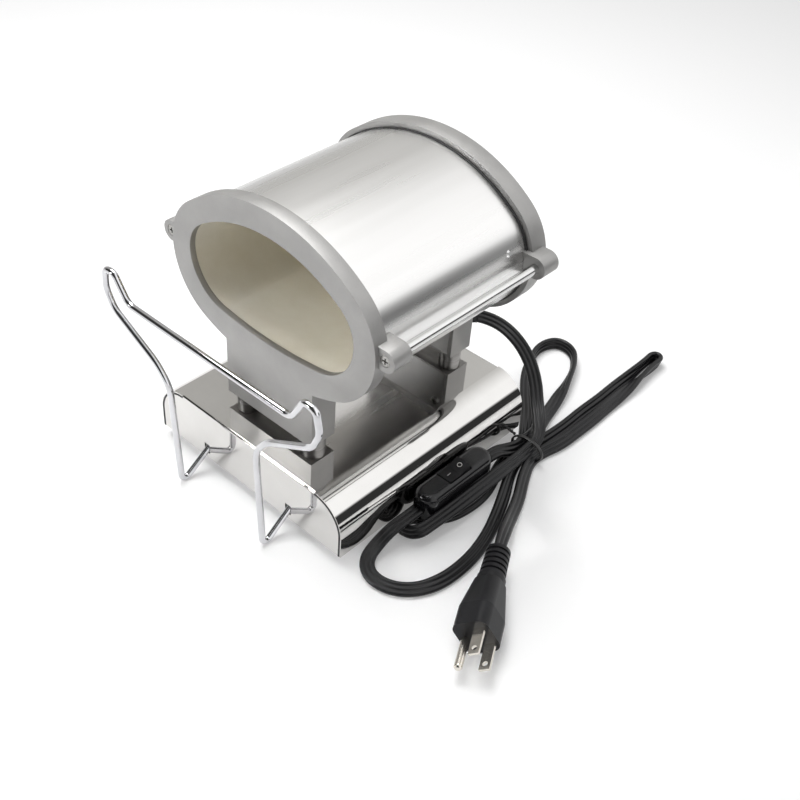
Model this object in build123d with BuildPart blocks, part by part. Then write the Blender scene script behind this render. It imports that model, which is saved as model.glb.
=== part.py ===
from build123d import *
import os
from math import cos, hypot, pi, radians, sin, sqrt, tan

os.makedirs("parts", exist_ok=True)

# The oven stands on z = 0. X runs across it, -Y is the open front, +Y the rear with the cord.

# Driving dimensions, mm
base_width = 160.0
base_depth = 166.0
foot_height = 7.5
base_top = 44.3
roll_radius = 22.2
sheet = 1.2
bend_radius = 1.6
slit = 0.5
lip_width = 34.0

frame_setback = 18.9
frame_rear_inset = 4.7
lip_thickness = 4.0
front_rim_depth = 9.6
rear_rim_depth = 12.4
rim_wall = 3.9

ring_half_width = 80.2
ring_centre_z = 137.3
ring_rise = 53.9
ring_rise_side_radius = 40.0
ring_drop = 51.7
ring_drop_side_radius = 44.0

mouth_half_width = 64.9
mouth_centre_z = 138.9
mouth_rise = 36.9
mouth_rise_side_radius = 24.0
mouth_drop = 32.8
mouth_drop_side_radius = 30.0

pedestal_half_width = 36.0
pedestal_bottom = 51.2
pedestal_depth = 19.0
pedestal_wall = 4.0
pocket_half_width = pedestal_half_width - 5.0
pocket_bottom = pedestal_bottom + 3.6
pocket_top = 82.0

ear_x = 84.3
ear_z = 140.6
ear_radius = 6.7
ear_setback = 2.5
ear_depth = 13.3
ear_web = 20.0

wire_diameter = 4.0
rack_foot_reach = 20.7
rack_lean = 0.041
rack_pivot_x = 36.4
rack_pivot_depth = 5.0
rack_pivot_z = 17.4
horn_top_z = 137.0

shell_gap = 0.1
shell_thickness = 0.8
part_gap = 0.3
running_gap = 0.05
screw_gap = 0.1
hole_gap = 0.2

# Places that follow from them
wire_radius = wire_diameter / 2
rack_reach = rack_foot_reach + rack_lean * (horn_top_z - 1.0) + wire_radius
panel_y = -(base_depth - rack_reach) / 2
base_rear_y = panel_y + base_depth
front_face_y = panel_y + frame_setback
rear_face_y = base_rear_y - frame_rear_inset
front_lip_back = front_face_y + lip_thickness
rear_lip_front = rear_face_y - lip_thickness
half_width = base_width / 2
flat_half = half_width - roll_radius
front_bolt_y = front_face_y + pedestal_depth / 2
rear_bolt_y = rear_face_y - pedestal_depth / 2
bolt_x = 28.5
cavity_front = rear_face_y - pedestal_depth


def lean_y(z):
    """Depth of the rod rest's standing plane at a height."""
    return panel_y - rack_foot_reach - rack_lean * z


def base_face(y, inset, floor):
    """Cross-section of the base at depth y: flat top, quarter-round shoulders, straight sides."""
    half = half_width - inset
    top = base_top - inset
    r = roll_radius - inset
    mid = r * (1 - sqrt(0.5))
    outline = [
        Edge.make_line((-half, y, floor), (half, y, floor)),
        Edge.make_line((half, y, floor), (half, y, top - r)),
        Edge.make_three_point_arc((half, y, top - r), (half - mid, y, top - mid), (half - r, y, top)),
        Edge.make_line((half - r, y, top), (r - half, y, top)),
        Edge.make_three_point_arc((r - half, y, top), (mid - half, y, top - mid), (-half, y, top - r)),
        Edge.make_line((-half, y, top - r), (-half, y, floor)),
    ]
    return Face(Wire(outline))


def half_oval(y, half, centre_z, rise, side_radius, up):
    """Edges of the upper (up = 1) or lower (up = -1) half of an oval made of tangent arcs."""
    flat_radius = (half**2 + rise**2 - 2 * half * side_radius) / (2 * (rise - side_radius))
    dx = half - side_radius
    dz = flat_radius - rise
    length = hypot(dx, dz)
    ux, uz = dx / length, dz / length
    join_x = dx + side_radius * ux
    join_z = side_radius * uz
    bisect = hypot(1 + ux, uz)
    mid_x = dx + side_radius * (1 + ux) / bisect
    mid_z = side_radius * uz / bisect
    right = Edge.make_three_point_arc(
        (half, y, centre_z), (mid_x, y, centre_z + up * mid_z), (join_x, y, centre_z + up * join_z)
    )
    flat = Edge.make_three_point_arc(
        (join_x, y, centre_z + up * join_z),
        (0, y, centre_z + up * rise),
        (-join_x, y, centre_z + up * join_z),
    )
    left = Edge.make_three_point_arc(
        (-join_x, y, centre_z + up * join_z), (-mid_x, y, centre_z + up * mid_z), (-half, y, centre_z)
    )
    return [right, flat, left]


def ring_face(y, offset):
    """The ring's outline, moved outward by offset."""
    half = ring_half_width + offset
    upper = half_oval(y, half, ring_centre_z, ring_rise + offset, ring_rise_side_radius + offset, 1)
    lower = half_oval(y, half, ring_centre_z, ring_drop + offset, ring_drop_side_radius + offset, -1)
    return Face(Wire(upper + lower))


def mouth_face(y, offset):
    """The opening's outline, moved outward by offset."""
    half = mouth_half_width + offset
    upper = half_oval(y, half, mouth_centre_z, mouth_rise + offset, mouth_rise_side_radius + offset, 1)
    lower = half_oval(y, half, mouth_centre_z, mouth_drop + offset, mouth_drop_side_radius + offset, -1)
    return Face(Wire(upper + lower))


def route(points, radii):
    """A path of straight runs joined by tangent arcs; radii holds one for each inner point."""
    edges = []
    start = Vector(*points[0])
    for i in range(1, len(points) - 1):
        corner = Vector(*points[i])
        back = (Vector(*points[i - 1]) - corner).normalized()
        ahead = (Vector(*points[i + 1]) - corner).normalized()
        half_turn = radians(180 - back.get_angle(ahead)) / 2
        set_back = radii[i - 1] * tan(half_turn)
        bisector = (back + ahead).normalized()
        tip = bisector * (radii[i - 1] / cos(half_turn) - radii[i - 1])
        arc_start = corner + back * set_back
        arc_end = corner + ahead * set_back
        edges.append(Edge.make_line(start, arc_start))
        edges.append(Edge.make_three_point_arc(arc_start, corner + tip, arc_end))
        start = arc_end
    edges.append(Edge.make_line(start, Vector(*points[-1])))
    return Wire(edges)


def round_section(points, radius):
    """The disc that a path through the points starts with."""
    plane = Plane(origin=points[0], z_dir=Vector(*points[1]) - Vector(*points[0]))
    return Face(Wire.make_circle(radius, plane))


def ends_at(y, toward):
    """Plane at depth y whose normal points along toward * Y."""
    return Plane(origin=(0, y, 0), x_dir=(1, 0, 0), z_dir=(0, toward, 0))


def cross_recess(length, width, depth):
    """Cut a cross-shaped driver recess into a head whose face lies at the current place."""
    Box(length, width, 2 * depth, mode=Mode.SUBTRACT)
    Box(width, length, 2 * depth, mode=Mode.SUBTRACT)


along_y = Vector(0, 1, 0)

# Base

slot_width = wire_diameter + 0.8
slot_low = 11.3
slot_high = 18.6
bolt_hole_radius = 2.8
foot_x = half_width - 23.0
foot_inset_y = 24.0
foot_screw_radius = 2.0

with BuildPart() as base_cover:
    extrude(base_face(panel_y, 0, foot_height), amount=base_depth, dir=along_y)
    extrude(
        base_face(panel_y, sheet, foot_height - 1), amount=base_depth, dir=along_y, mode=Mode.SUBTRACT
    )
    for end_y, inward in ((panel_y, 1), (base_rear_y, -1)):
        extrude(base_face(end_y, sheet + slit, foot_height), amount=sheet, dir=along_y * inward)
        with Locations((0, end_y + inward * bend_radius / 2, base_top - bend_radius / 2)):
            Box(2 * flat_half, bend_radius, bend_radius, mode=Mode.SUBTRACT)
        with Locations((0, end_y + inward * sheet / 2, base_top - bend_radius - 0.5)):
            Box(2 * flat_half, sheet, 1.0)
        corner_plane = Plane(
            origin=(-flat_half, end_y + inward * bend_radius, base_top - bend_radius),
            x_dir=(0, 1, 0),
            z_dir=(1, 0, 0),
        )
        with BuildSketch(corner_plane):
            Circle(bend_radius)
            Circle(bend_radius - sheet, mode=Mode.SUBTRACT)
            with Locations((-inward * bend_radius / 2, bend_radius / 2)):
                Rectangle(bend_radius, bend_radius, mode=Mode.INTERSECT)
        extrude(amount=2 * flat_half)
    for side in (-1, 1):
        lip_x = half_width - sheet / 2 - lip_width / 2
        with Locations((side * lip_x, panel_y + base_depth / 2, foot_height)):
            Box(
                lip_width - sheet,
                base_depth - 2 * (sheet + slit),
                sheet,
                align=(Align.CENTER, Align.CENTER, Align.MIN),
            )
        with Locations((side * rack_pivot_x, panel_y + sheet / 2, (slot_low + slot_high) / 2)):
            Box(slot_width, 3 * sheet, slot_high - slot_low, mode=Mode.SUBTRACT)
        for y in (front_bolt_y, rear_bolt_y):
            with Locations((side * bolt_x, y, base_top - 2)):
                Cylinder(bolt_hole_radius, 6, mode=Mode.SUBTRACT)
        for y in (panel_y + foot_inset_y, base_rear_y - foot_inset_y):
            with Locations((side * foot_x, y, foot_height)):
                Cylinder(foot_screw_radius + hole_gap, 6, mode=Mode.SUBTRACT)
base_cover.part.label = "base_cover"

plate_z = foot_height + sheet
plate_width = base_width - 2 * sheet - 2 * slit
plate_depth = base_depth - 2 * sheet - 2 * slit
vent_length = 46.0
vent_width = 4.0
vent_pitch = 12.0

with BuildPart() as base_plate:
    with Locations((0, panel_y + base_depth / 2, plate_z)):
        Box(plate_width, plate_depth, sheet, align=(Align.CENTER, Align.CENTER, Align.MIN))
    for side in (-1, 1):
        for y in (panel_y + foot_inset_y, base_rear_y - foot_inset_y):
            with Locations((side * foot_x, y, plate_z)):
                Cylinder(foot_screw_radius + hole_gap, 6, mode=Mode.SUBTRACT)
    with BuildSketch(Plane.XY.offset(plate_z - 1)):
        with Locations((0, panel_y + base_depth / 2)):
            with GridLocations(0, vent_pitch, 1, 6):
                SlotOverall(vent_length, vent_width)
    extrude(amount=4, mode=Mode.SUBTRACT)
base_plate.part.label = "base_plate"

foot_radius = 9.0
foot_taper = 1.2
foot_pocket_radius = 4.4
foot_screw_head_radius = 3.6
foot_nut_half = 3.5
thread_past_nut = 1.5
screw_head_height = 2.2
nut_height = 3.2
foot_recess = 3.6

with BuildPart() as rubber_feet:
    for side in (-1, 1):
        for y in (panel_y + foot_inset_y, base_rear_y - foot_inset_y):
            with Locations((side * foot_x, y, 0)):
                Cone(
                    foot_radius - foot_taper,
                    foot_radius,
                    foot_height,
                    align=(Align.CENTER, Align.CENTER, Align.MIN),
                )
                Cylinder(
                    foot_pocket_radius,
                    foot_recess,
                    align=(Align.CENTER, Align.CENTER, Align.MIN),
                    mode=Mode.SUBTRACT,
                )
                Cylinder(
                    foot_screw_radius + hole_gap,
                    foot_height,
                    align=(Align.CENTER, Align.CENTER, Align.MIN),
                    mode=Mode.SUBTRACT,
                )
rubber_feet.part.label = "rubber_feet"

foot_nut_z = plate_z + sheet

with BuildPart() as foot_screws:
    for side in (-1, 1):
        for y in (panel_y + foot_inset_y, base_rear_y - foot_inset_y):
            with Locations((side * foot_x, y, foot_recess)):
                Cylinder(
                    foot_screw_head_radius,
                    screw_head_height,
                    align=(Align.CENTER, Align.CENTER, Align.MAX),
                )
                Cylinder(
                    foot_screw_radius,
                    foot_nut_z + nut_height + thread_past_nut - foot_recess,
                    align=(Align.CENTER, Align.CENTER, Align.MIN),
                )
            with Locations((side * foot_x, y, foot_recess - screw_head_height)):
                cross_recess(3.8, 0.9, 1.2)
foot_screws.part.label = "foot_screws"

with BuildPart() as foot_nuts:
    for side in (-1, 1):
        for y in (panel_y + foot_inset_y, base_rear_y - foot_inset_y):
            with BuildSketch(Plane.XY.offset(foot_nut_z)):
                with Locations((side * foot_x, y)):
                    RegularPolygon(foot_nut_half, 6, major_radius=False)
                    Circle(foot_screw_radius + screw_gap, mode=Mode.SUBTRACT)
            extrude(amount=nut_height)
foot_nuts.part.label = "foot_nuts"

clip_width = 9.0
clip_x = rack_pivot_x + clip_width
clip_ear = 3.4
clip_wall = 1.4
pivot_y = panel_y + rack_pivot_depth
panel_back = panel_y + sheet
clip_outer = wire_radius + clip_wall

with BuildPart() as rack_clips:
    for side in (-1, 1):
        with BuildSketch(Plane.YZ.offset(side * clip_x - clip_width / 2)):
            with Locations((pivot_y, rack_pivot_z)):
                Circle(clip_outer)
            with Locations(((panel_back + pivot_y) / 2, rack_pivot_z)):
                Rectangle(pivot_y - panel_back, 2 * clip_outer)
            with Locations((panel_back + sheet / 2, rack_pivot_z)):
                Rectangle(sheet, 2 * (clip_outer + clip_ear))
            with Locations((pivot_y, rack_pivot_z)):
                Circle(wire_radius + running_gap, mode=Mode.SUBTRACT)
        extrude(amount=clip_width)
rack_clips.part.label = "rack_clips"

# Bolts between base and frames

washer_thickness = 1.0
bolt_radius = 2.5
bolt_head_radius = 4.25
bolt_head_height = 5.0
bolt_reach = 14.0
bolt_socket_half = 2.0
bolt_socket_depth = 2.6
washer_radius = 5.0
standoff_radius = 7.0
seat_z = base_top - sheet

with BuildPart() as frame_standoffs:
    for side in (-1, 1):
        for y in (front_bolt_y, rear_bolt_y):
            with Locations((side * bolt_x, y, base_top)):
                Cylinder(
                    standoff_radius,
                    pedestal_bottom - base_top,
                    align=(Align.CENTER, Align.CENTER, Align.MIN),
                )
                Cylinder(
                    bolt_radius + part_gap,
                    pedestal_bottom - base_top,
                    align=(Align.CENTER, Align.CENTER, Align.MIN),
                    mode=Mode.SUBTRACT,
                )
frame_standoffs.part.label = "frame_standoffs"

with BuildPart() as bolt_washers:
    for side in (-1, 1):
        for y in (front_bolt_y, rear_bolt_y):
            with Locations((side * bolt_x, y, seat_z)):
                Cylinder(washer_radius, washer_thickness, align=(Align.CENTER, Align.CENTER, Align.MAX))
                Cylinder(bolt_radius + hole_gap, 3 * washer_thickness, mode=Mode.SUBTRACT)
bolt_washers.part.label = "bolt_washers"

with BuildPart() as frame_bolts:
    for side in (-1, 1):
        for y in (front_bolt_y, rear_bolt_y):
            with Locations((side * bolt_x, y, seat_z - washer_thickness)):
                Cylinder(bolt_head_radius, bolt_head_height, align=(Align.CENTER, Align.CENTER, Align.MAX))
                Cylinder(
                    bolt_radius,
                    pedestal_bottom + bolt_reach - seat_z + washer_thickness,
                    align=(Align.CENTER, Align.CENTER, Align.MIN),
                )
            socket_z = seat_z - washer_thickness - bolt_head_height
            with BuildSketch(Plane.XY.offset(socket_z)):
                with Locations((side * bolt_x, y)):
                    RegularPolygon(bolt_socket_half, 6, major_radius=False)
            extrude(amount=bolt_socket_depth, mode=Mode.SUBTRACT)
frame_bolts.part.label = "frame_bolts"

# Cast frames

boss_radius = 6.0
boss_top = pedestal_bottom + bolt_reach + 3.0
ear_seat_depth = 2.0
ear_seat_radius = 3.5
ear_hole_radius = 2.2
cover_screw_points = ((58.9, 160.3), (56.8, 112.9))
cover_screw_radius = 1.5
gland_z = 56.4
pole_x = 10.0
conductor_pitch = 1.9
gland_x = pole_x + conductor_pitch
gland_neck_radius = 4.3
lead_slot_half = 12.0
lead_slot_depth = 7.0
lead_slot_height = 12.0
lead_y = rear_face_y - 9.3
lug_x = 28.0
lug_z = 77.0
lug_screw_radius = 1.4
lug_screw_length = 8.0
lug_width = 7.0
lug_height = 12.0
cover_rebate = 2.0
rear_slot = 20.0
ground_x = -20.0
ground_z = 73.0
ground_screw_radius = 2.0
ground_screw_length = 2.2

with BuildPart() as front_frame:
    extrude(ring_face(front_face_y, 0), amount=front_rim_depth, dir=along_y)
    with Locations((0, front_face_y + pedestal_depth / 2, pedestal_bottom)):
        Box(
            2 * pedestal_half_width,
            pedestal_depth,
            ring_centre_z - pedestal_bottom,
            align=(Align.CENTER, Align.CENTER, Align.MIN),
        )
    for side in (-1, 1):
        with Locations(ends_at(front_face_y + ear_setback, 1)):
            with Locations((side * ear_x, -ear_z, 0)):
                Cylinder(ear_radius, ear_depth, align=(Align.CENTER, Align.CENTER, Align.MIN))
            with Locations((side * (ear_x - ear_web / 2), -ear_z, 0)):
                Box(ear_web, 2 * ear_radius, ear_depth, align=(Align.CENTER, Align.CENTER, Align.MIN))
    extrude(
        ring_face(front_lip_back, -rim_wall), amount=2 * pedestal_depth, dir=along_y, mode=Mode.SUBTRACT
    )
    extrude(mouth_face(front_face_y - 1, 0), amount=2 * pedestal_depth, dir=along_y, mode=Mode.SUBTRACT)
    with Locations((0, front_face_y + pedestal_wall, pocket_bottom)):
        Box(
            2 * pocket_half_width,
            pedestal_depth,
            pocket_top - pocket_bottom,
            align=(Align.CENTER, Align.MIN, Align.MIN),
            mode=Mode.SUBTRACT,
        )
    for side in (-1, 1):
        with Locations((side * bolt_x, front_bolt_y, pedestal_bottom)):
            Cylinder(boss_radius, boss_top - pedestal_bottom, align=(Align.CENTER, Align.CENTER, Align.MIN))
            Cylinder(
                bolt_radius + screw_gap,
                bolt_reach + 1,
                align=(Align.CENTER, Align.CENTER, Align.MIN),
                mode=Mode.SUBTRACT,
            )
        with Locations(ends_at(front_face_y + ear_setback, 1)):
            with Locations((side * ear_x, -ear_z, 0)):
                Cylinder(
                    ear_seat_radius,
                    ear_seat_depth,
                    align=(Align.CENTER, Align.CENTER, Align.MIN),
                    mode=Mode.SUBTRACT,
                )
                Cylinder(
                    ear_hole_radius,
                    ear_depth,
                    align=(Align.CENTER, Align.CENTER, Align.MIN),
                    mode=Mode.SUBTRACT,
                )
front_frame.part.label = "front_frame"

with BuildPart() as rear_frame:
    extrude(ring_face(rear_face_y, 0), amount=rear_rim_depth, dir=-along_y)
    with Locations((0, rear_face_y - pedestal_depth / 2, pedestal_bottom)):
        Box(
            2 * pedestal_half_width,
            pedestal_depth,
            ring_centre_z - pedestal_bottom,
            align=(Align.CENTER, Align.CENTER, Align.MIN),
        )
    for side in (-1, 1):
        with Locations(ends_at(rear_face_y - ear_setback, -1)):
            with Locations((side * ear_x, ear_z, 0)):
                Cylinder(ear_radius, ear_depth, align=(Align.CENTER, Align.CENTER, Align.MIN))
            with Locations((side * (ear_x - ear_web / 2), ear_z, 0)):
                Box(ear_web, 2 * ear_radius, ear_depth, align=(Align.CENTER, Align.CENTER, Align.MIN))
    extrude(
        ring_face(rear_lip_front, -rim_wall), amount=2 * pedestal_depth, dir=-along_y, mode=Mode.SUBTRACT
    )
    extrude(mouth_face(rear_face_y + 1, 0), amount=2 * pedestal_depth, dir=-along_y, mode=Mode.SUBTRACT)
    with Locations((0, rear_face_y - pedestal_wall, pocket_bottom)):
        Box(
            2 * pocket_half_width,
            pedestal_depth,
            pocket_top - pocket_bottom,
            align=(Align.CENTER, Align.MAX, Align.MIN),
            mode=Mode.SUBTRACT,
        )
    with Locations((0, cavity_front, (pocket_bottom + pocket_top) / 2)):
        Box(
            2 * (pocket_half_width + cover_rebate + hole_gap),
            sheet,
            pocket_top - pocket_bottom + 2 * (cover_rebate + hole_gap),
            align=(Align.CENTER, Align.MIN, Align.CENTER),
            mode=Mode.SUBTRACT,
        )
    with Locations((0, lead_y, pocket_top - 1)):
        Box(
            2 * lead_slot_half,
            lead_slot_depth,
            lead_slot_height,
            align=(Align.CENTER, Align.CENTER, Align.MIN),
            mode=Mode.SUBTRACT,
        )
    for side in (-1, 1):
        with Locations((side * bolt_x, rear_bolt_y, pedestal_bottom)):
            Cylinder(boss_radius, boss_top - pedestal_bottom, align=(Align.CENTER, Align.CENTER, Align.MIN))
            Cylinder(
                bolt_radius + screw_gap,
                bolt_reach + 1,
                align=(Align.CENTER, Align.CENTER, Align.MIN),
                mode=Mode.SUBTRACT,
            )
        with Locations((side * (lug_x + 0.5), rear_face_y - pedestal_wall + 0.5, lug_z)):
            Box(
                lug_width,
                pedestal_depth - pedestal_wall - sheet + 0.5,
                lug_height,
                align=(Align.CENTER, Align.MAX, Align.CENTER),
            )
        with Locations(ends_at(cavity_front + sheet, 1)):
            with Locations((side * lug_x, -lug_z, 0)):
                Cylinder(
                    lug_screw_radius + screw_gap,
                    lug_screw_length + 1,
                    align=(Align.CENTER, Align.CENTER, Align.MIN),
                    mode=Mode.SUBTRACT,
                )
        with Locations(ends_at(rear_face_y - ear_setback, -1)):
            with Locations((side * ear_x, ear_z, 0)):
                Cylinder(
                    ear_seat_radius,
                    ear_seat_depth,
                    align=(Align.CENTER, Align.CENTER, Align.MIN),
                    mode=Mode.SUBTRACT,
                )
                Cylinder(
                    ear_hole_radius,
                    ear_depth,
                    align=(Align.CENTER, Align.CENTER, Align.MIN),
                    mode=Mode.SUBTRACT,
                )
        with Locations(ends_at(rear_face_y, -1)):
            for x, z in cover_screw_points:
                with Locations((side * x, z, 0)):
                    Cylinder(cover_screw_radius + screw_gap, 2 * lip_thickness, mode=Mode.SUBTRACT)
    with Locations(ends_at(rear_face_y, -1)):
        with Locations((gland_x, gland_z, 0)):
            Cylinder(gland_neck_radius + screw_gap, 3 * pedestal_wall, mode=Mode.SUBTRACT)
        with Locations((ground_x, ground_z, pedestal_wall - ground_screw_length - part_gap)):
            Cylinder(
                ground_screw_radius + screw_gap,
                pedestal_wall,
                align=(Align.CENTER, Align.CENTER, Align.MIN),
                mode=Mode.SUBTRACT,
            )
rear_frame.part.label = "rear_frame"

# Drum

shell_offset = -rim_wall - shell_gap
shell_rear = rear_lip_front - part_gap
rivet_depth = 28.0
rivet_z = 150.7
rivet_head_radius = 2.2
rivet_shank_radius = 1.2
rivet_head_height = 0.9
rivet_shank_length = 1.0
shell_side_radius = ring_rise_side_radius + shell_offset
rivet_slope = (rivet_z - ring_centre_z) / shell_side_radius
rivet_x = ring_half_width - ring_rise_side_radius + shell_side_radius * sqrt(1 - rivet_slope**2)


def rivet_plane(side):
    """Plane on the shell's outside at a rivet, normal pointing outward."""
    return Plane(
        origin=(side * rivet_x, rear_face_y - rivet_depth, rivet_z),
        z_dir=(side * sqrt(1 - rivet_slope**2), 0, rivet_slope),
    )


with BuildPart() as drum_shell:
    extrude(ring_face(front_lip_back, shell_offset), amount=shell_rear - front_lip_back, dir=along_y)
    extrude(
        ring_face(front_lip_back - 1, shell_offset - shell_thickness),
        amount=shell_rear - front_lip_back + 2,
        dir=along_y,
        mode=Mode.SUBTRACT,
    )
    with Locations((0, lead_y - lead_slot_depth / 2, pocket_top)):
        Box(
            2 * lead_slot_half,
            rear_slot,
            rear_slot,
            align=(Align.CENTER, Align.MIN, Align.MIN),
            mode=Mode.SUBTRACT,
        )
    for side in (-1, 1):
        with Locations(rivet_plane(side)):
            Cylinder(rivet_shank_radius + screw_gap, 4 * shell_thickness, mode=Mode.SUBTRACT)
drum_shell.part.label = "drum_shell"

with BuildPart() as shell_rivets:
    for side in (-1, 1):
        with Locations(rivet_plane(side)):
            Cylinder(
                rivet_shank_radius, rivet_shank_length, align=(Align.CENTER, Align.CENTER, Align.MAX)
            )
            Cone(
                rivet_head_radius,
                rivet_shank_radius,
                rivet_head_height,
                align=(Align.CENTER, Align.CENTER, Align.MIN),
            )
shell_rivets.part.label = "shell_rivets"

muffle_clearance = 1.0
muffle_wall = 4.0
muffle_outer = muffle_clearance + muffle_wall
coil_base = 0.4
coil_turn = 1.1
coil_outer = muffle_outer + coil_base + coil_turn
coil_turns = 20
coil_turn_width = 3.2
coil_start = front_lip_back + 4.0
coil_end = rear_lip_front - 3.0
coil_pitch = (coil_end - coil_start - coil_turn_width) / (coil_turns - 1)
blanket_inner = coil_outer + part_gap
blanket_outer = shell_offset - shell_thickness - part_gap
plug_depth = 18.0
plug_clearance = 0.4
plug_edge = 2.0

with BuildPart() as muffle:
    extrude(mouth_face(front_lip_back, muffle_outer), amount=shell_rear - front_lip_back, dir=along_y)
    extrude(
        mouth_face(front_lip_back - 1, muffle_clearance),
        amount=shell_rear - front_lip_back + 2,
        dir=along_y,
        mode=Mode.SUBTRACT,
    )
muffle.part.label = "muffle"

with BuildPart() as heating_coil:
    extrude(mouth_face(coil_start, muffle_outer + coil_base), amount=coil_end - coil_start, dir=along_y)
    for i in range(coil_turns):
        extrude(mouth_face(coil_start + i * coil_pitch, coil_outer), amount=coil_turn_width, dir=along_y)
    extrude(
        mouth_face(coil_start - 1, muffle_outer),
        amount=coil_end - coil_start + 2,
        dir=along_y,
        mode=Mode.SUBTRACT,
    )
heating_coil.part.label = "heating_coil"

with BuildPart() as insulation_blanket:
    extrude(ring_face(front_lip_back, blanket_outer), amount=shell_rear - front_lip_back, dir=along_y)
    extrude(
        mouth_face(front_lip_back - 1, blanket_inner),
        amount=shell_rear - front_lip_back + 2,
        dir=along_y,
        mode=Mode.SUBTRACT,
    )
    with Locations((0, lead_y - lead_slot_depth / 2, pocket_top)):
        Box(
            2 * lead_slot_half,
            rear_slot,
            rear_slot + 5,
            align=(Align.CENTER, Align.MIN, Align.MIN),
            mode=Mode.SUBTRACT,
        )
insulation_blanket.part.label = "insulation_blanket"

with BuildPart() as rear_plug:
    extrude(mouth_face(rear_face_y, -plug_clearance), amount=plug_depth, dir=-along_y)
    fillet(rear_plug.faces().sort_by(Axis.Y)[0].edges(), plug_edge)
rear_plug.part.label = "rear_plug"

cover_overlap = 8.0
cover_screw_length = 4.8
cover_head_radius = 2.8
cover_head_height = 1.8

with BuildPart() as rear_cover:
    extrude(mouth_face(rear_face_y, cover_overlap), amount=sheet, dir=along_y)
    for side in (-1, 1):
        with Locations(ends_at(rear_face_y, -1)):
            for x, z in cover_screw_points:
                with Locations((side * x, z, 0)):
                    Cylinder(cover_screw_radius + hole_gap, 4 * sheet, mode=Mode.SUBTRACT)
rear_cover.part.label = "rear_cover"

with BuildPart() as rear_cover_screws:
    for side in (-1, 1):
        with Locations(ends_at(rear_face_y + sheet, -1)):
            for x, z in cover_screw_points:
                with Locations((side * x, z, 0)):
                    Cylinder(
                        cover_screw_radius,
                        cover_screw_length,
                        align=(Align.CENTER, Align.CENTER, Align.MIN),
                    )
                    Cylinder(
                        cover_head_radius, cover_head_height, align=(Align.CENTER, Align.CENTER, Align.MAX)
                    )
                with Locations((side * x, z, -cover_head_height)):
                    cross_recess(3.2, 0.8, 1.0)
rear_cover_screws.part.label = "rear_cover_screws"

rod_radius = 3.0
rod_start = front_face_y + ear_setback + ear_depth
rod_end = rear_face_y - ear_setback - ear_depth
rod_screw_radius = 2.0
rod_screw_engaged = 8.0
rod_thread_spare = 1.5
rod_head_radius = 3.25
rod_head_height = 1.8

with BuildPart() as tie_rods:
    for side in (-1, 1):
        with Locations(ends_at(rod_start, 1)):
            with Locations((side * ear_x, -ear_z, 0)):
                Cylinder(rod_radius, rod_end - rod_start, align=(Align.CENTER, Align.CENTER, Align.MIN))
                Cylinder(
                    rod_screw_radius + screw_gap,
                    2 * (rod_screw_engaged + rod_thread_spare),
                    mode=Mode.SUBTRACT,
                )
        with Locations(ends_at(rod_end, -1)):
            with Locations((side * ear_x, ear_z, 0)):
                Cylinder(
                    rod_screw_radius + screw_gap,
                    2 * (rod_screw_engaged + rod_thread_spare),
                    mode=Mode.SUBTRACT,
                )
tie_rods.part.label = "tie_rods"

front_seat = front_face_y + ear_setback + ear_seat_depth
rear_seat = rear_face_y - ear_setback - ear_seat_depth
rod_screw_length = ear_depth - ear_seat_depth + rod_screw_engaged

with BuildPart() as tie_rod_screws:
    for seat, toward in ((front_seat, 1), (rear_seat, -1)):
        for side in (-1, 1):
            with Locations(ends_at(seat, toward)):
                with Locations((side * ear_x, -toward * ear_z, 0)):
                    Cylinder(
                        rod_screw_radius, rod_screw_length, align=(Align.CENTER, Align.CENTER, Align.MIN)
                    )
                    Cylinder(
                        rod_head_radius, rod_head_height, align=(Align.CENTER, Align.CENTER, Align.MAX)
                    )
                with Locations((side * ear_x, -toward * ear_z, -rod_head_height)):
                    cross_recess(3.8, 0.9, 1.1)
tie_rod_screws.part.label = "tie_rod_screws"

# Wiring in the rear pedestal

block_half = 15.0
block_low = 64.5
block_high = 75.5
block_depth = 9.0
cavity_back = rear_face_y - pedestal_wall
lead_radius = 1.2
pole_hole_radius = lead_radius + screw_gap
terminal_screw_radius = 1.3
terminal_screw_inset = 3.0
terminal_head_radius = 2.2
terminal_head_height = 1.4
lead_engaged = 5.0
lead_top = mouth_centre_z - mouth_drop - coil_outer

with BuildPart() as terminal_block:
    with Locations((0, cavity_back, block_low)):
        Box(2 * block_half, block_depth, block_high - block_low, align=(Align.CENTER, Align.MAX, Align.MIN))
    for side in (-1, 1):
        with Locations((side * pole_x, lead_y, block_low)):
            Cylinder(
                pole_hole_radius,
                block_high - block_low,
                align=(Align.CENTER, Align.CENTER, Align.MIN),
                mode=Mode.SUBTRACT,
            )
        with Locations(ends_at(cavity_back - block_depth, 1)):
            for z in (block_low + terminal_screw_inset, block_high - terminal_screw_inset):
                with Locations((side * pole_x, -z, 0)):
                    Cylinder(
                        terminal_screw_radius + screw_gap,
                        lead_y - cavity_back + block_depth - pole_hole_radius,
                        align=(Align.CENTER, Align.CENTER, Align.MIN),
                        mode=Mode.SUBTRACT,
                    )
terminal_block.part.label = "terminal_block"

with BuildPart() as terminal_screws:
    for side in (-1, 1):
        with Locations(ends_at(cavity_back - block_depth, 1)):
            for z in (block_low + terminal_screw_inset, block_high - terminal_screw_inset):
                with Locations((side * pole_x, -z, 0)):
                    Cylinder(
                        terminal_screw_radius,
                        lead_y - cavity_back + block_depth - pole_hole_radius,
                        align=(Align.CENTER, Align.CENTER, Align.MIN),
                    )
                    Cylinder(
                        terminal_head_radius,
                        terminal_head_height,
                        align=(Align.CENTER, Align.CENTER, Align.MAX),
                    )
                with Locations((side * pole_x, -z, -terminal_head_height)):
                    Box(3.0, 0.6, 1.2, mode=Mode.SUBTRACT)
terminal_screws.part.label = "terminal_screws"

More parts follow.
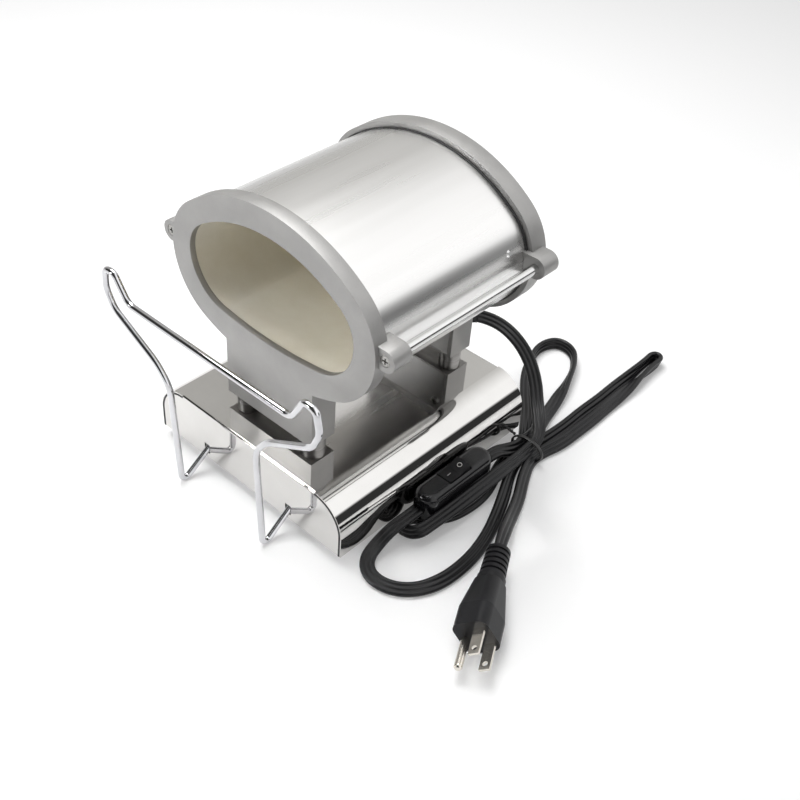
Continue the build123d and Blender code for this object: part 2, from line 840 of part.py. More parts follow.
with BuildPart() as coil_leads:
    for side in (-1, 1):
        with Locations((side * pole_x, lead_y, block_high - lead_engaged)):
            Cylinder(
                lead_radius,
                lead_top - block_high + lead_engaged,
                align=(Align.CENTER, Align.CENTER, Align.MIN),
            )
coil_leads.part.label = "coil_leads"

conductor_radius = 0.8
cord_end_y = cavity_back
low_run_y = cavity_front + 5.0
ground_run_y = cavity_front + 2.6
ground_head_height = 1.8
ground_head_radius = 3.4
wire_bend = 1.8
live_points = [
    (gland_x - conductor_pitch, cord_end_y, gland_z),
    (gland_x - conductor_pitch, lead_y, gland_z),
    (pole_x, lead_y, block_low + lead_engaged),
]
neutral_points = [
    (gland_x, cord_end_y, gland_z),
    (gland_x, low_run_y, gland_z),
    (-pole_x, low_run_y, gland_z),
    (-pole_x, lead_y, gland_z),
    (-pole_x, lead_y, block_low + lead_engaged),
]
ground_points = [
    (gland_x + conductor_pitch, cord_end_y, gland_z),
    (gland_x + conductor_pitch, ground_run_y, gland_z),
    (ground_x, ground_run_y, gland_z),
    (ground_x, ground_run_y, ground_z),
    (ground_x, cavity_back - ground_head_height, ground_z),
]

with BuildPart() as inner_conductors:
    sweep(round_section(live_points, conductor_radius), path=route(live_points, [wire_bend]))
    sweep(round_section(neutral_points, conductor_radius), path=route(neutral_points, [wire_bend] * 3))
inner_conductors.part.label = "inner_conductors"

with BuildPart() as ground_conductor:
    sweep(round_section(ground_points, conductor_radius), path=route(ground_points, [wire_bend] * 3))
ground_conductor.part.label = "ground_conductor"

with BuildPart() as ground_screw:
    with Locations(ends_at(cavity_back, 1)):
        with Locations((ground_x, -ground_z, 0)):
            Cylinder(
                ground_screw_radius, ground_screw_length, align=(Align.CENTER, Align.CENTER, Align.MIN)
            )
            Cylinder(ground_head_radius, ground_head_height, align=(Align.CENTER, Align.CENTER, Align.MAX))
ground_screw.part.label = "ground_screw"

with BuildPart() as terminal_cover:
    with Locations((0, cavity_front, (pocket_bottom + pocket_top) / 2)):
        Box(
            2 * (pocket_half_width + cover_rebate),
            sheet,
            pocket_top - pocket_bottom + 2 * cover_rebate,
            align=(Align.CENTER, Align.MIN, Align.CENTER),
        )
    for side in (-1, 1):
        with Locations(ends_at(cavity_front, 1)):
            with Locations((side * lug_x, -lug_z, 0)):
                Cylinder(lug_screw_radius + hole_gap, 4 * sheet, mode=Mode.SUBTRACT)
terminal_cover.part.label = "terminal_cover"

lug_head_radius = 2.6
lug_head_height = 1.6

with BuildPart() as terminal_cover_screws:
    for side in (-1, 1):
        with Locations(ends_at(cavity_front, 1)):
            with Locations((side * lug_x, -lug_z, 0)):
                Cylinder(lug_screw_radius, lug_screw_length, align=(Align.CENTER, Align.CENTER, Align.MIN))
                Cylinder(lug_head_radius, lug_head_height, align=(Align.CENTER, Align.CENTER, Align.MAX))
            with Locations((side * lug_x, -lug_z, -lug_head_height)):
                cross_recess(3.0, 0.8, 0.9)
terminal_cover_screws.part.label = "terminal_cover_screws"

# Rod rest

foot_bend = 3.5
foot_corner_z = 0.0
foot_corner_x = 36.9
knee_x = 36.5
knee_z = 77.0
pivot = Vector(rack_pivot_x, pivot_y, rack_pivot_z)
knee = Vector(knee_x, lean_y(knee_z), knee_z)
for _ in range(12):
    corner = Vector(foot_corner_x, lean_y(foot_corner_z), foot_corner_z)
    back = (pivot - corner).normalized()
    ahead = (knee - corner).normalized()
    half_turn = radians(180 - back.get_angle(ahead)) / 2
    lift = (back + ahead).normalized().Z * foot_bend / cos(half_turn) - foot_bend
    foot_corner_z = wire_radius - lift

rest_half = [
    (rack_pivot_x + 16.0, pivot_y, rack_pivot_z),
    (rack_pivot_x, pivot_y, rack_pivot_z),
    (foot_corner_x, lean_y(foot_corner_z), foot_corner_z),
    (knee_x, lean_y(knee_z), knee_z),
    (46.0, lean_y(89.5), 89.5),
    (81.0, lean_y(109.5), 109.5),
    (86.5, lean_y(122.0), 122.0),
    (84.0, lean_y(136.0), 136.0),
    (76.0, lean_y(horn_top_z), horn_top_z),
    (66.0, lean_y(120.5), 120.5),
]
rest_radii = [2.6, foot_bend, 22.0, 28.0, 14.0, 14.0, 4.6, 4.6, 8.0]
rest_points = rest_half + [(-x, y, z) for x, y, z in reversed(rest_half)]

with BuildPart() as rod_rest:
    sweep(
        round_section(rest_points, wire_radius), path=route(rest_points, rest_radii + rest_radii[::-1])
    )
rod_rest.part.label = "rod_rest"

# Cord, switch and plug. Route points are written from the base panel's outer face at Y = 0.

cord_radius = 3.0
cord_floor = cord_radius + 0.1
tie_y = 152.5
tie_first_x = 90.4
tie_last_x = 104.0
tie_lower_z = cord_radius + 1.2
tie_upper_z = tie_lower_z + 6.4
switch_x = 89.5
switch_front = 56.0
switch_rear = 118.0
switch_low = 6.6
switch_split = 15.0
switch_high = 25.5
switch_width = 17.0
plug_axis_z = 13.7
relief_x = 143.0
relief_y = 64.6
plug_dx = 0.466
plug_dy = -0.885

supply_route = [
    (gland_x, frame_setback + 138.4, gland_z),
    (gland_x, 176.0, gland_z),
    (20.0, 189.5, 53.5),
    (34.0, 196.0, 51.0),
    (50.0, 195.5, 46.5),
    (64.0, 192.0, 39.0),
    (75.0, 186.0, 30.0),
    (83.0, 178.5, 22.5),
    (91.5, 170.5, 18.5),
    (100.3, 160.0, 12.6),
    (100.6, 146.0, tie_upper_z),
    (101.4, 131.5, 10.6),
    (102.0, 116.0, 10.2),
    (101.6, 97.0, 10.3),
    (102.0, 78.0, 10.2),
    (101.6, 60.0, 10.0),
    (101.4, 43.0, 9.6),
    (88.8, 42.0, 5.8),
    (88.4, 54.5, cord_floor),
    (88.8, 76.0, cord_floor),
    (88.4, 95.0, cord_floor),
    (88.8, 114.0, cord_floor),
    (90.2, 131.0, cord_floor),
    (tie_first_x, 146.0, tie_lower_z),
    (89.9, 158.5, tie_lower_z),
    (82.5, 170.5, cord_floor),
    (73.5, 185.0, cord_floor),
    (62.0, 199.0, cord_floor),
    (50.5, 214.0, cord_floor),
    (41.0, 230.5, cord_floor),
    (35.5, 248.0, cord_floor),
    (41.0, 263.0, cord_floor),
    (56.0, 262.0, cord_floor),
    (66.5, 248.0, cord_floor),
    (73.0, 230.5, cord_floor),
    (79.0, 211.0, cord_floor),
    (84.0, 192.0, cord_floor),
    (89.8, 175.5, 5.6),
    (93.4, 160.5, 10.0),
    (93.8, 146.0, tie_upper_z),
    (92.4, 137.5, 12.4),
    (switch_x, 128.5, switch_split),
    (switch_x, switch_rear, switch_split),
]
plug_route = [
    (switch_x, switch_front, switch_split),
    (switch_x, 45.5, switch_split),
    (87.8, 34.5, 12.5),
    (86.6, 24.0, 6.5),
    (88.0, 13.8, 3.2),
    (96.0, 6.2, cord_floor),
    (107.0, 5.2, cord_floor),
    (117.5, 10.0, cord_floor),
    (125.5, 19.5, cord_floor),
    (130.0, 32.5, cord_floor),
    (131.0, 47.5, cord_floor),
    (129.5, 63.0, cord_floor),
    (125.5, 79.0, cord_floor),
    (119.0, 95.5, cord_floor),
    (111.5, 112.0, cord_floor),
    (102.6, 128.6, cord_floor),
    (97.2, 145.0, tie_lower_z),
    (97.0, 158.5, tie_lower_z),
    (98.8, 174.0, cord_floor),
    (99.6, 192.0, cord_floor),
    (99.0, 211.0, cord_floor),
    (99.6, 230.0, cord_floor),
    (99.0, 249.0, cord_floor),
    (99.6, 268.0, cord_floor),
    (98.6, 286.0, cord_floor),
    (98.2, 300.0, cord_floor),
    (107.4, 300.4, cord_floor),
    (107.0, 287.0, cord_floor),
    (107.4, 269.0, cord_floor),
    (108.0, 250.0, cord_floor),
    (109.6, 231.0, cord_floor),
    (110.4, 212.0, cord_floor),
    (110.0, 193.0, cord_floor),
    (107.6, 175.5, cord_floor),
    (tie_last_x, 159.0, tie_lower_z),
    (104.4, 146.5, tie_lower_z),
    (110.8, 131.6, cord_floor),
    (119.6, 116.0, cord_floor),
    (126.2, 100.5, 6.4),
    (132.4, 86.4, 11.0),
    (138.1, 73.9, plug_axis_z),
    (relief_x, relief_y, plug_axis_z),
]


def in_frame(points):
    """Route points moved from the panel's face to the part's own origin."""
    return [(x, y + panel_y, z) for x, y, z in points]


def turn_radii(points):
    """An arc as large as the shorter run beside each inner point allows."""
    radii = []
    for i in range(1, len(points) - 1):
        corner = Vector(*points[i])
        back = Vector(*points[i - 1]) - corner
        ahead = Vector(*points[i + 1]) - corner
        half_turn = radians(180 - back.get_angle(ahead)) / 2
        radii.append(0.45 * min(back.length, ahead.length) / tan(half_turn))
    return radii


def self_gap(path, tube_radius):
    """Least gap between parts of one tube that lie more than four diameters apart along it."""
    step = 1.5
    apart = int(8 * tube_radius / step)
    count = int(path.length / step)
    spots = [path.position_at(i / count) for i in range(count + 1)]
    nearest = min(
        (spots[i] - spots[j]).length for i in range(len(spots)) for j in range(i + apart, len(spots))
    )
    return nearest - 2 * tube_radius


supply_points = in_frame(supply_route)
plug_points = in_frame(plug_route)
supply_path = route(supply_points, turn_radii(supply_points))
plug_path = route(plug_points, turn_radii(plug_points))

with BuildPart() as cord_supply_hank:
    sweep(round_section(supply_points, cord_radius), path=supply_path)
cord_supply_hank.part.label = "cord_supply_hank"

with BuildPart() as cord_plug_hank:
    sweep(round_section(plug_points, cord_radius), path=plug_path)
cord_plug_hank.part.label = "cord_plug_hank"

for name, points, path, tube in (
    ("supply", supply_points, supply_path, cord_supply_hank.part),
    ("plug", plug_points, plug_path, cord_plug_hank.part),
):
    print(name, "cord radii", [round(r, 1) for r in turn_radii(points)])
    print(name, "cord length", round(path.length, 1))
    print(name, "least self-gap", round(self_gap(path, cord_radius), 2))
    fill = tube.volume / (pi * cord_radius**2 * path.length)
    print(name, "cord volume over section times length", round(fill, 4))

gland_flange_radius = 5.0
relief_sleeve_radius = 4.2
gland_flange = 1.6
gland_taper = 5.0

with BuildPart() as cord_gland:
    with Locations(ends_at(cavity_back, 1)):
        with Locations((gland_x, -gland_z, 0)):
            Cylinder(gland_neck_radius, pedestal_wall, align=(Align.CENTER, Align.CENTER, Align.MIN))
    with Locations(ends_at(rear_face_y, 1)):
        with Locations((gland_x, -gland_z, 0)):
            Cylinder(gland_flange_radius, gland_flange, align=(Align.CENTER, Align.CENTER, Align.MIN))
            with Locations((0, 0, gland_flange)):
                Cone(
                    gland_flange_radius,
                    relief_sleeve_radius,
                    gland_taper,
                    align=(Align.CENTER, Align.CENTER, Align.MIN),
                )
    relief_path = Wire(supply_path.edges()[0:2])
    sweep(round_section(supply_points, relief_sleeve_radius), path=relief_path)
    with Locations(ends_at(cavity_back, 1)):
        with Locations((gland_x, -gland_z, 0)):
            Cylinder(
                2 * gland_flange_radius,
                pedestal_wall + 1,
                align=(Align.CENTER, Align.CENTER, Align.MAX),
                mode=Mode.SUBTRACT,
            )
    sweep(round_section(supply_points, cord_radius + running_gap), path=relief_path, mode=Mode.SUBTRACT)
cord_gland.part.label = "cord_gland"

tie_wire = 0.9
tie_slack = 0.6
tie_width = 3.0
tie_corner = 4.0
twist_radius = 0.8
twist_length = 9.0
twist_inset = 2.5
tie_left = tie_first_x - cord_radius - tie_wire / 2 - tie_slack
tie_right = tie_last_x + cord_radius + tie_wire / 2 + tie_slack
tie_top = tie_upper_z + cord_radius + tie_wire / 2 + 2 * tie_slack
tie_bottom = tie_wire / 2
tie_centre_y = panel_y + tie_y

with BuildPart() as cord_tie:
    with BuildSketch(Plane.XZ.offset(-tie_centre_y)):
        with Locations(((tie_left + tie_right) / 2, (tie_bottom + tie_top) / 2)):
            RectangleRounded(tie_right - tie_left + tie_wire, tie_top - tie_bottom + tie_wire, tie_corner)
            RectangleRounded(
                tie_right - tie_left - tie_wire,
                tie_top - tie_bottom - tie_wire,
                tie_corner - tie_wire,
                mode=Mode.SUBTRACT,
            )
    extrude(amount=tie_width / 2, both=True)
    with Locations(Plane(origin=(tie_left + twist_inset, tie_centre_y, tie_top), z_dir=(-0.6, -0.2, 0.8))):
        Cylinder(twist_radius, twist_length, align=(Align.CENTER, Align.CENTER, Align.MIN))
cord_tie.part.label = "cord_tie"

switch_y = panel_y + (switch_front + switch_rear) / 2
switch_length = switch_rear - switch_front
switch_wall = 1.8
switch_corner = 8.0
switch_screw_y = switch_length / 2 - 8.5
switch_boss_radius = 3.4
switch_screw_radius = 1.15
switch_seat_z = switch_low + 2.9
switch_screw_reach = 5.0
switch_head_radius = 2.2
switch_head_height = 1.5
switch_edge = 2.0
switch_top_edge = 4.2
rocker_length = 19.0
rocker_width = 10.5
rocker_gap = 0.6
rocker_pivot_z = switch_high - 3.0
rocker_pin_radius = 1.2
rocker_pin_half = 7.6
rocker_throw = 3.0

with BuildPart() as switch_lower_case:
    with BuildSketch(Plane.XY.offset(switch_low)):
        with Locations((switch_x, switch_y)):
            RectangleRounded(switch_width, switch_length, switch_corner)
    extrude(amount=switch_split - switch_low)
    fillet(switch_lower_case.faces().sort_by(Axis.Z)[0].edges(), switch_edge)
    with BuildSketch(Plane.XY.offset(switch_low + switch_wall)):
        with Locations((switch_x, switch_y)):
            RectangleRounded(
                switch_width - 2 * switch_wall, switch_length - 2 * switch_wall, switch_corner - switch_wall
            )
    extrude(amount=switch_split, mode=Mode.SUBTRACT)
    for end_y in (-1, 1):
        with Locations((switch_x, switch_y + end_y * switch_screw_y, switch_low)):
            Cylinder(
                switch_boss_radius,
                switch_split - switch_low,
                align=(Align.CENTER, Align.CENTER, Align.MIN),
            )
            Cylinder(
                switch_screw_radius + screw_gap,
                switch_split - switch_low,
                align=(Align.CENTER, Align.CENTER, Align.MIN),
                mode=Mode.SUBTRACT,
            )
            Cylinder(
                switch_head_radius + hole_gap,
                switch_seat_z - switch_low,
                align=(Align.CENTER, Align.CENTER, Align.MIN),
                mode=Mode.SUBTRACT,
            )
switch_lower_case.part.label = "switch_lower_case"

with BuildPart() as switch_upper_case:
    with BuildSketch(Plane.XY.offset(switch_split)):
        with Locations((switch_x, switch_y)):
            RectangleRounded(switch_width, switch_length, switch_corner)
    extrude(amount=switch_high - switch_split)
    fillet(switch_upper_case.faces().sort_by(Axis.Z)[-1].edges(), switch_top_edge)
    with BuildSketch(Plane.XY.offset(switch_split - 1)):
        with Locations((switch_x, switch_y)):
            RectangleRounded(
                switch_width - 2 * switch_wall, switch_length - 2 * switch_wall, switch_corner - switch_wall
            )
    extrude(amount=switch_high - switch_split + 1 - switch_wall, mode=Mode.SUBTRACT)
    with Locations((switch_x, switch_y, switch_high)):
        Box(rocker_width + 2 * rocker_gap, rocker_length + 2 * rocker_gap, 8, mode=Mode.SUBTRACT)
    with Locations(Plane(origin=(switch_x, switch_y, rocker_pivot_z), z_dir=(1, 0, 0))):
        Cylinder(rocker_pin_radius + running_gap, 2 * rocker_pin_half + hole_gap, mode=Mode.SUBTRACT)
    for end_y in (-1, 1):
        with Locations((switch_x, switch_y + end_y * switch_screw_y, switch_split)):
            Cylinder(
                switch_boss_radius,
                switch_high - switch_split - switch_wall,
                align=(Align.CENTER, Align.CENTER, Align.MIN),
            )
            Cylinder(
                switch_screw_radius + screw_gap,
                switch_screw_reach + 1,
                align=(Align.CENTER, Align.CENTER, Align.MIN),
                mode=Mode.SUBTRACT,
            )
switch_upper_case.part.label = "switch_upper_case"

with BuildPart() as switch_rocker:
    with BuildSketch(Plane.YZ.offset(switch_x - rocker_width / 2)):
        with BuildLine():
            Polyline(
                (switch_y - rocker_length / 2, rocker_pivot_z + 1.2),
                (switch_y - rocker_length / 2, rocker_pivot_z + 3.4),
                (switch_y, rocker_pivot_z + 3.6),
                (switch_y + rocker_length / 2 - 1.2, rocker_pivot_z + 3.4 + rocker_throw),
                (switch_y + rocker_length / 2 - 0.5, rocker_pivot_z + 1.2),
                (switch_y, rocker_pivot_z - 3.2),
                close=True,
            )
        make_face()
    extrude(amount=rocker_width)
    with Locations(Plane(origin=(switch_x, switch_y, rocker_pivot_z), z_dir=(1, 0, 0))):
        Cylinder(rocker_pin_radius, 2 * rocker_pin_half)
switch_rocker.part.label = "switch_rocker"

with BuildPart() as switch_screws:
    for end_y in (-1, 1):
        with Locations((switch_x, switch_y + end_y * switch_screw_y, switch_seat_z)):
            Cylinder(switch_head_radius, switch_head_height, align=(Align.CENTER, Align.CENTER, Align.MAX))
            Cylinder(
                switch_screw_radius,
                switch_split + switch_screw_reach - switch_seat_z,
                align=(Align.CENTER, Align.CENTER, Align.MIN),
            )
        with Locations((switch_x, switch_y + end_y * switch_screw_y, switch_seat_z - switch_head_height)):
            cross_recess(2.8, 0.6, 0.7)
switch_screws.part.label = "switch_screws"

contact_floor = switch_low + switch_wall
contact_length = 13.0
contact_width = 6.0
contact_gap = 0.8
contact_post = 3.0
contact_strip = 1.0

with BuildPart() as switch_contacts:
    for end_y in (-1, 1):
        with Locations((switch_x, switch_y + end_y * (contact_length / 2 + contact_gap), contact_floor)):
            Box(
                contact_width,
                contact_length,
                contact_strip,
                align=(Align.CENTER, Align.CENTER, Align.MIN),
            )
            with Locations((0, end_y * (contact_length - contact_post) / 2, contact_strip)):
                Box(
                    contact_width,
                    contact_post,
                    contact_post,
                    align=(Align.CENTER, Align.CENTER, Align.MIN),
                )
switch_contacts.part.label = "switch_contacts"

relief_length = 26.0
relief_start_radius = 7.0
relief_end_radius = 7.6
relief_core_radius = 5.8
relief_groove = 1.5
relief_pitch = 3.9
relief_ribs = 5
collar_radius = 8.2
collar_length = 4.0
body_corner = 6.0
body_start_width = 16.6
body_end_width = 21.0
body_end_height = 24.0
body_length = 38.0
blade_length = 17.5
blade_thickness = 1.5
blade_hole_radius = 1.6
blade_hole_back = 3.8
blade_width = 6.35
blade_spacing = 12.7
blade_offset = -5.5
pin_length = 20.5
pin_radius = 2.4
pin_round = 1.8
pin_from_blades = 11.9
prong_root = 9.0
pin_offset = blade_offset + pin_from_blades
plug_roll = radians(33)
plug_origin = Vector(relief_x, panel_y + relief_y, plug_axis_z)
plug_axis = Vector(plug_dx, plug_dy, 0)
plug_side = Vector(plug_dy, -plug_dx, 0) * cos(plug_roll) - Vector(0, 0, 1) * sin(plug_roll)


def plug_plane(along):
    """Plane across the plug, this far along it from the cord's end."""
    return Plane(origin=plug_origin + plug_axis * along, x_dir=plug_side, z_dir=plug_axis)


with BuildPart() as plug_strain_relief:
    with BuildSketch(plug_plane(0)):
        Circle(relief_start_radius)
    with BuildSketch(plug_plane(relief_length - collar_length)):
        Circle(relief_end_radius)
    loft()
    for i in range(relief_ribs):
        with BuildSketch(plug_plane(relief_pitch * (i + 0.6))):
            Circle(collar_radius)
            Circle(relief_core_radius + 0.1 * i, mode=Mode.SUBTRACT)
        extrude(amount=relief_groove, mode=Mode.SUBTRACT)
    with BuildSketch(plug_plane(relief_length - collar_length)):
        Circle(collar_radius)
    extrude(amount=collar_length)
plug_strain_relief.part.label = "plug_strain_relief"

with BuildPart() as plug_body:
    with BuildSketch(plug_plane(relief_length)):
        RectangleRounded(body_start_width, body_start_width, body_corner)
    with BuildSketch(plug_plane(relief_length + 0.6 * body_length)):
        RectangleRounded(body_end_width, body_end_height, body_corner)
    loft()
    with BuildSketch(plug_plane(relief_length + 0.6 * body_length)):
        RectangleRounded(body_end_width, body_end_height, body_corner)
    extrude(amount=0.4 * body_length)
    with BuildSketch(plug_plane(relief_length + body_length - prong_root)):
        with Locations((blade_offset, -blade_spacing / 2), (blade_offset, blade_spacing / 2)):
            Rectangle(blade_width, blade_thickness)
        with Locations((pin_offset, 0)):
            Circle(pin_radius)
    extrude(amount=prong_root, mode=Mode.SUBTRACT)
plug_body.part.label = "plug_body"

with BuildPart() as plug_blades:
    with BuildSketch(plug_plane(relief_length + body_length - prong_root)):
        with Locations((blade_offset, -blade_spacing / 2), (blade_offset, blade_spacing / 2)):
            Rectangle(blade_width, blade_thickness)
    extrude(amount=prong_root + blade_length)
    tip = relief_length + body_length + blade_length
    for side in (-1, 1):
        hole_centre = plug_plane(tip - blade_hole_back).from_local_coords(
            Vector(blade_offset, side * blade_spacing / 2, 0)
        )
        with Locations(Plane(origin=hole_centre, x_dir=plug_side, z_dir=plug_plane(0).y_dir)):
            Cylinder(blade_hole_radius, 3 * blade_thickness, mode=Mode.SUBTRACT)
plug_blades.part.label = "plug_blades"

with BuildPart() as plug_ground_pin:
    with BuildSketch(plug_plane(relief_length + body_length - prong_root)):
        with Locations((pin_offset, 0)):
            Circle(pin_radius)
    extrude(amount=prong_root + pin_length)
    tip_edge = plug_ground_pin.edges().sort_by(lambda edge: (edge.center() - plug_origin).dot(plug_axis))[-1]
    fillet(tip_edge, pin_round)
plug_ground_pin.part.label = "plug_ground_pin"

export_step(base_cover.part, "parts/base_cover.step")
export_step(base_plate.part, "parts/base_plate.step")
export_step(rubber_feet.part, "parts/rubber_feet.step")
export_step(foot_screws.part, "parts/foot_screws.step")
export_step(foot_nuts.part, "parts/foot_nuts.step")
export_step(rack_clips.part, "parts/rack_clips.step")
export_step(frame_standoffs.part, "parts/frame_standoffs.step")
export_step(bolt_washers.part, "parts/bolt_washers.step")
export_step(frame_bolts.part, "parts/frame_bolts.step")
export_step(front_frame.part, "parts/front_frame.step")
export_step(rear_frame.part, "parts/rear_frame.step")
export_step(drum_shell.part, "parts/drum_shell.step")
export_step(shell_rivets.part, "parts/shell_rivets.step")
export_step(muffle.part, "parts/muffle.step")
export_step(heating_coil.part, "parts/heating_coil.step")
export_step(insulation_blanket.part, "parts/insulation_blanket.step")
export_step(rear_plug.part, "parts/rear_plug.step")
export_step(rear_cover.part, "parts/rear_cover.step")
export_step(rear_cover_screws.part, "parts/rear_cover_screws.step")
export_step(tie_rods.part, "parts/tie_rods.step")
export_step(tie_rod_screws.part, "parts/tie_rod_screws.step")
export_step(terminal_block.part, "parts/terminal_block.step")
export_step(terminal_screws.part, "parts/terminal_screws.step")
export_step(coil_leads.part, "parts/coil_leads.step")
export_step(inner_conductors.part, "parts/inner_conductors.step")
export_step(ground_conductor.part, "parts/ground_conductor.step")
export_step(ground_screw.part, "parts/ground_screw.step")
export_step(terminal_cover.part, "parts/terminal_cover.step")
export_step(terminal_cover_screws.part, "parts/terminal_cover_screws.step")
export_step(rod_rest.part, "parts/rod_rest.step")
export_step(cord_supply_hank.part, "parts/cord_supply_hank.step")
export_step(cord_plug_hank.part, "parts/cord_plug_hank.step")
export_step(cord_gland.part, "parts/cord_gland.step")
export_step(cord_tie.part, "parts/cord_tie.step")
export_step(switch_lower_case.part, "parts/switch_lower_case.step")
export_step(switch_upper_case.part, "parts/switch_upper_case.step")
export_step(switch_rocker.part, "parts/switch_rocker.step")
export_step(switch_screws.part, "parts/switch_screws.step")
export_step(switch_contacts.part, "parts/switch_contacts.step")
export_step(plug_strain_relief.part, "parts/plug_strain_relief.step")
export_step(plug_body.part, "parts/plug_body.step")
export_step(plug_blades.part, "parts/plug_blades.step")
export_step(plug_ground_pin.part, "parts/plug_ground_pin.step")
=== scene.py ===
# %% [markdown]
# This is a small bench oven that warms the ends of glass rods before flame work. A polished
# drum sits between two cast rings on a bent steel base, a wire rest holds the rods at the
# mouth, and a flat three-core cord with a rocker switch lies beside it in a tied hank. The
# rigid shapes could be modelled again here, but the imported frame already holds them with
# their exact sizes and joints. So this script gives those shapes their finishes, and makes
# only the pieces that are softer or finer than the frame's solids.

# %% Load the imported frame
import bpy
import bmesh
from math import acos, cos, pi, radians, sin
from mathutils import Matrix, Vector


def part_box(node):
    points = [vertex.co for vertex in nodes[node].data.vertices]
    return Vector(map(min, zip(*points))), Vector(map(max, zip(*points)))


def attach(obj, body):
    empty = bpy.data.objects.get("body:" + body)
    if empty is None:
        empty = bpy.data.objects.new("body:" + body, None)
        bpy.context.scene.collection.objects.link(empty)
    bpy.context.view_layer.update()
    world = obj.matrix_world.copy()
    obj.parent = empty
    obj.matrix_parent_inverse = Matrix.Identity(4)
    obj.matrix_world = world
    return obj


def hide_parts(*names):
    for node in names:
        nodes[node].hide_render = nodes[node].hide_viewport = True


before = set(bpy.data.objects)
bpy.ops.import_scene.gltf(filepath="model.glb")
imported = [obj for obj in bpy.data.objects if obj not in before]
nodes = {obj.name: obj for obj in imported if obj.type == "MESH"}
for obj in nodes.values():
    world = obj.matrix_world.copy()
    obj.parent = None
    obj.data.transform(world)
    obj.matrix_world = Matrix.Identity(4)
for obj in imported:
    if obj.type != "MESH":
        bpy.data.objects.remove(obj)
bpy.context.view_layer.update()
panel_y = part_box("base_cover")[0].y
wall_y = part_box("rear_frame")[1].y
print("nodes", len(nodes), "front panel at", round(panel_y, 4), "rear wall at", round(wall_y, 4))

# %% [markdown]
# The camera comes first, because the cords are judged by what it sees. It could be placed by
# eye. Its place, direction and lens were instead worked out from the base's edges and the
# two rings, so that every outline can be compared with the photograph. The small shift only
# frames the object off centre, as the photograph does.

# %% Camera
camera_place = (0.365173, -0.379025, 0.479335)
camera_right = Vector((0.710614, 0.702919, 0.030532))
camera_up = Vector((-0.480512, 0.453159, 0.750836))
camera_back = Vector((0.513941, -0.548226, 0.659782))
camera_data = bpy.data.cameras.new("bench_camera")
camera_data.sensor_width = 36.0
camera_data.lens = 49.44
camera_data.shift_x = 0.0768
camera_data.shift_y = 0.0296
camera_data.clip_start = 0.01
camera = bpy.data.objects.new("bench_camera", camera_data)
bpy.context.scene.collection.objects.link(camera)
turn = Matrix((camera_right, camera_up, camera_back)).transposed()
camera.matrix_world = Matrix.Translation(camera_place) @ turn.to_4x4()
bpy.context.scene.camera = camera
bpy.context.scene.view_settings.view_transform = "Standard"
print("camera at", [round(v, 3) for v in camera.location])

# %% [markdown]
# Both cords are one flat cable with three round cores side by side. A flat cable bends
# easily over its thin side, so it lies flat on the bench in wide curves, leans on its
# neighbours in the tied bundle, and stands on edge in the tight folds. It could be laid by a
# cloth or rope simulation, but then its folds would fall by chance. Each point below gives
# the route instead, in metres from the base's front panel, with a word for how the
# cable lies there.

# %% Route of the cord between oven and switch
supply_route = [
    (0.0119, 0.1573, 0.0564, "flat"),
    (0.0119, 0.1760, 0.0564, "flat"),
    (0.0200, 0.1895, 0.0535, "show"),
    (0.0340, 0.1960, 0.0510, "show"),
    (0.0500, 0.1955, 0.0465, "show"),
    (0.0640, 0.1920, 0.0390, "show"),
    (0.0750, 0.1860, 0.0300, "show"),
    (0.0830, 0.1785, 0.0225, "show"),
    (0.0915, 0.1705, 0.0185, "show"),
    (0.1003, 0.1600, 0.0126, "steep"),
    (0.1006, 0.1460, 0.0108, "steep"),
    (0.1012, 0.1315, 0.0117, "steep"),
    (0.1021, 0.1160, 0.0128, "lean"),
    (0.1023, 0.0970, 0.0130, "lean"),
    (0.1022, 0.0780, 0.0126, "lean"),
    (0.1008, 0.0600, 0.0114, "steep"),
    (0.0992, 0.0430, 0.0098, "front"),
    (0.0856, 0.0424, 0.0062, "front"),
    (0.0860, 0.0505, 0.0044, "left"),
    (0.0905, 0.0610, 0.0033, "flat"),
    (0.0999, 0.0745, 0.0038, "lean"),
    (0.1028, 0.0890, 0.0044, "lean"),
    (0.1024, 0.1030, 0.0044, "lean"),
    (0.0985, 0.1165, 0.0044, "lean"),
    (0.0930, 0.1310, 0.0044, "steep"),
    (0.0904, 0.1460, 0.0044, "steep"),
    (0.0899, 0.1585, 0.0044, "steep"),
    (0.0825, 0.1705, 0.0040, "lean"),
    (0.0735, 0.1850, 0.0036, "slant"),
    (0.0620, 0.1990, 0.0032, "slant"),
    (0.0505, 0.2140, 0.0038, "slant"),
    (0.0410, 0.2305, 0.0046, "edge"),
    (0.0355, 0.2480, 0.0048, "edge"),
    (0.0410, 0.2630, 0.0048, "in"),
    (0.0560, 0.2620, 0.0048, "in"),
    (0.0665, 0.2480, 0.0048, "west"),
    (0.0730, 0.2305, 0.0046, "left"),
    (0.0790, 0.2110, 0.0036, "flat"),
    (0.0840, 0.1920, 0.0040, "lean"),
    (0.0898, 0.1755, 0.0064, "lean"),
    (0.0934, 0.1605, 0.0100, "steep"),
    (0.0938, 0.1460, 0.0106, "steep"),
    (0.0924, 0.1375, 0.0124, "lean"),
    (0.0895, 0.1285, 0.0150, "flat"),
    (0.0895, 0.1180, 0.0150, "flat"),
]
print("supply route points", len(supply_route))

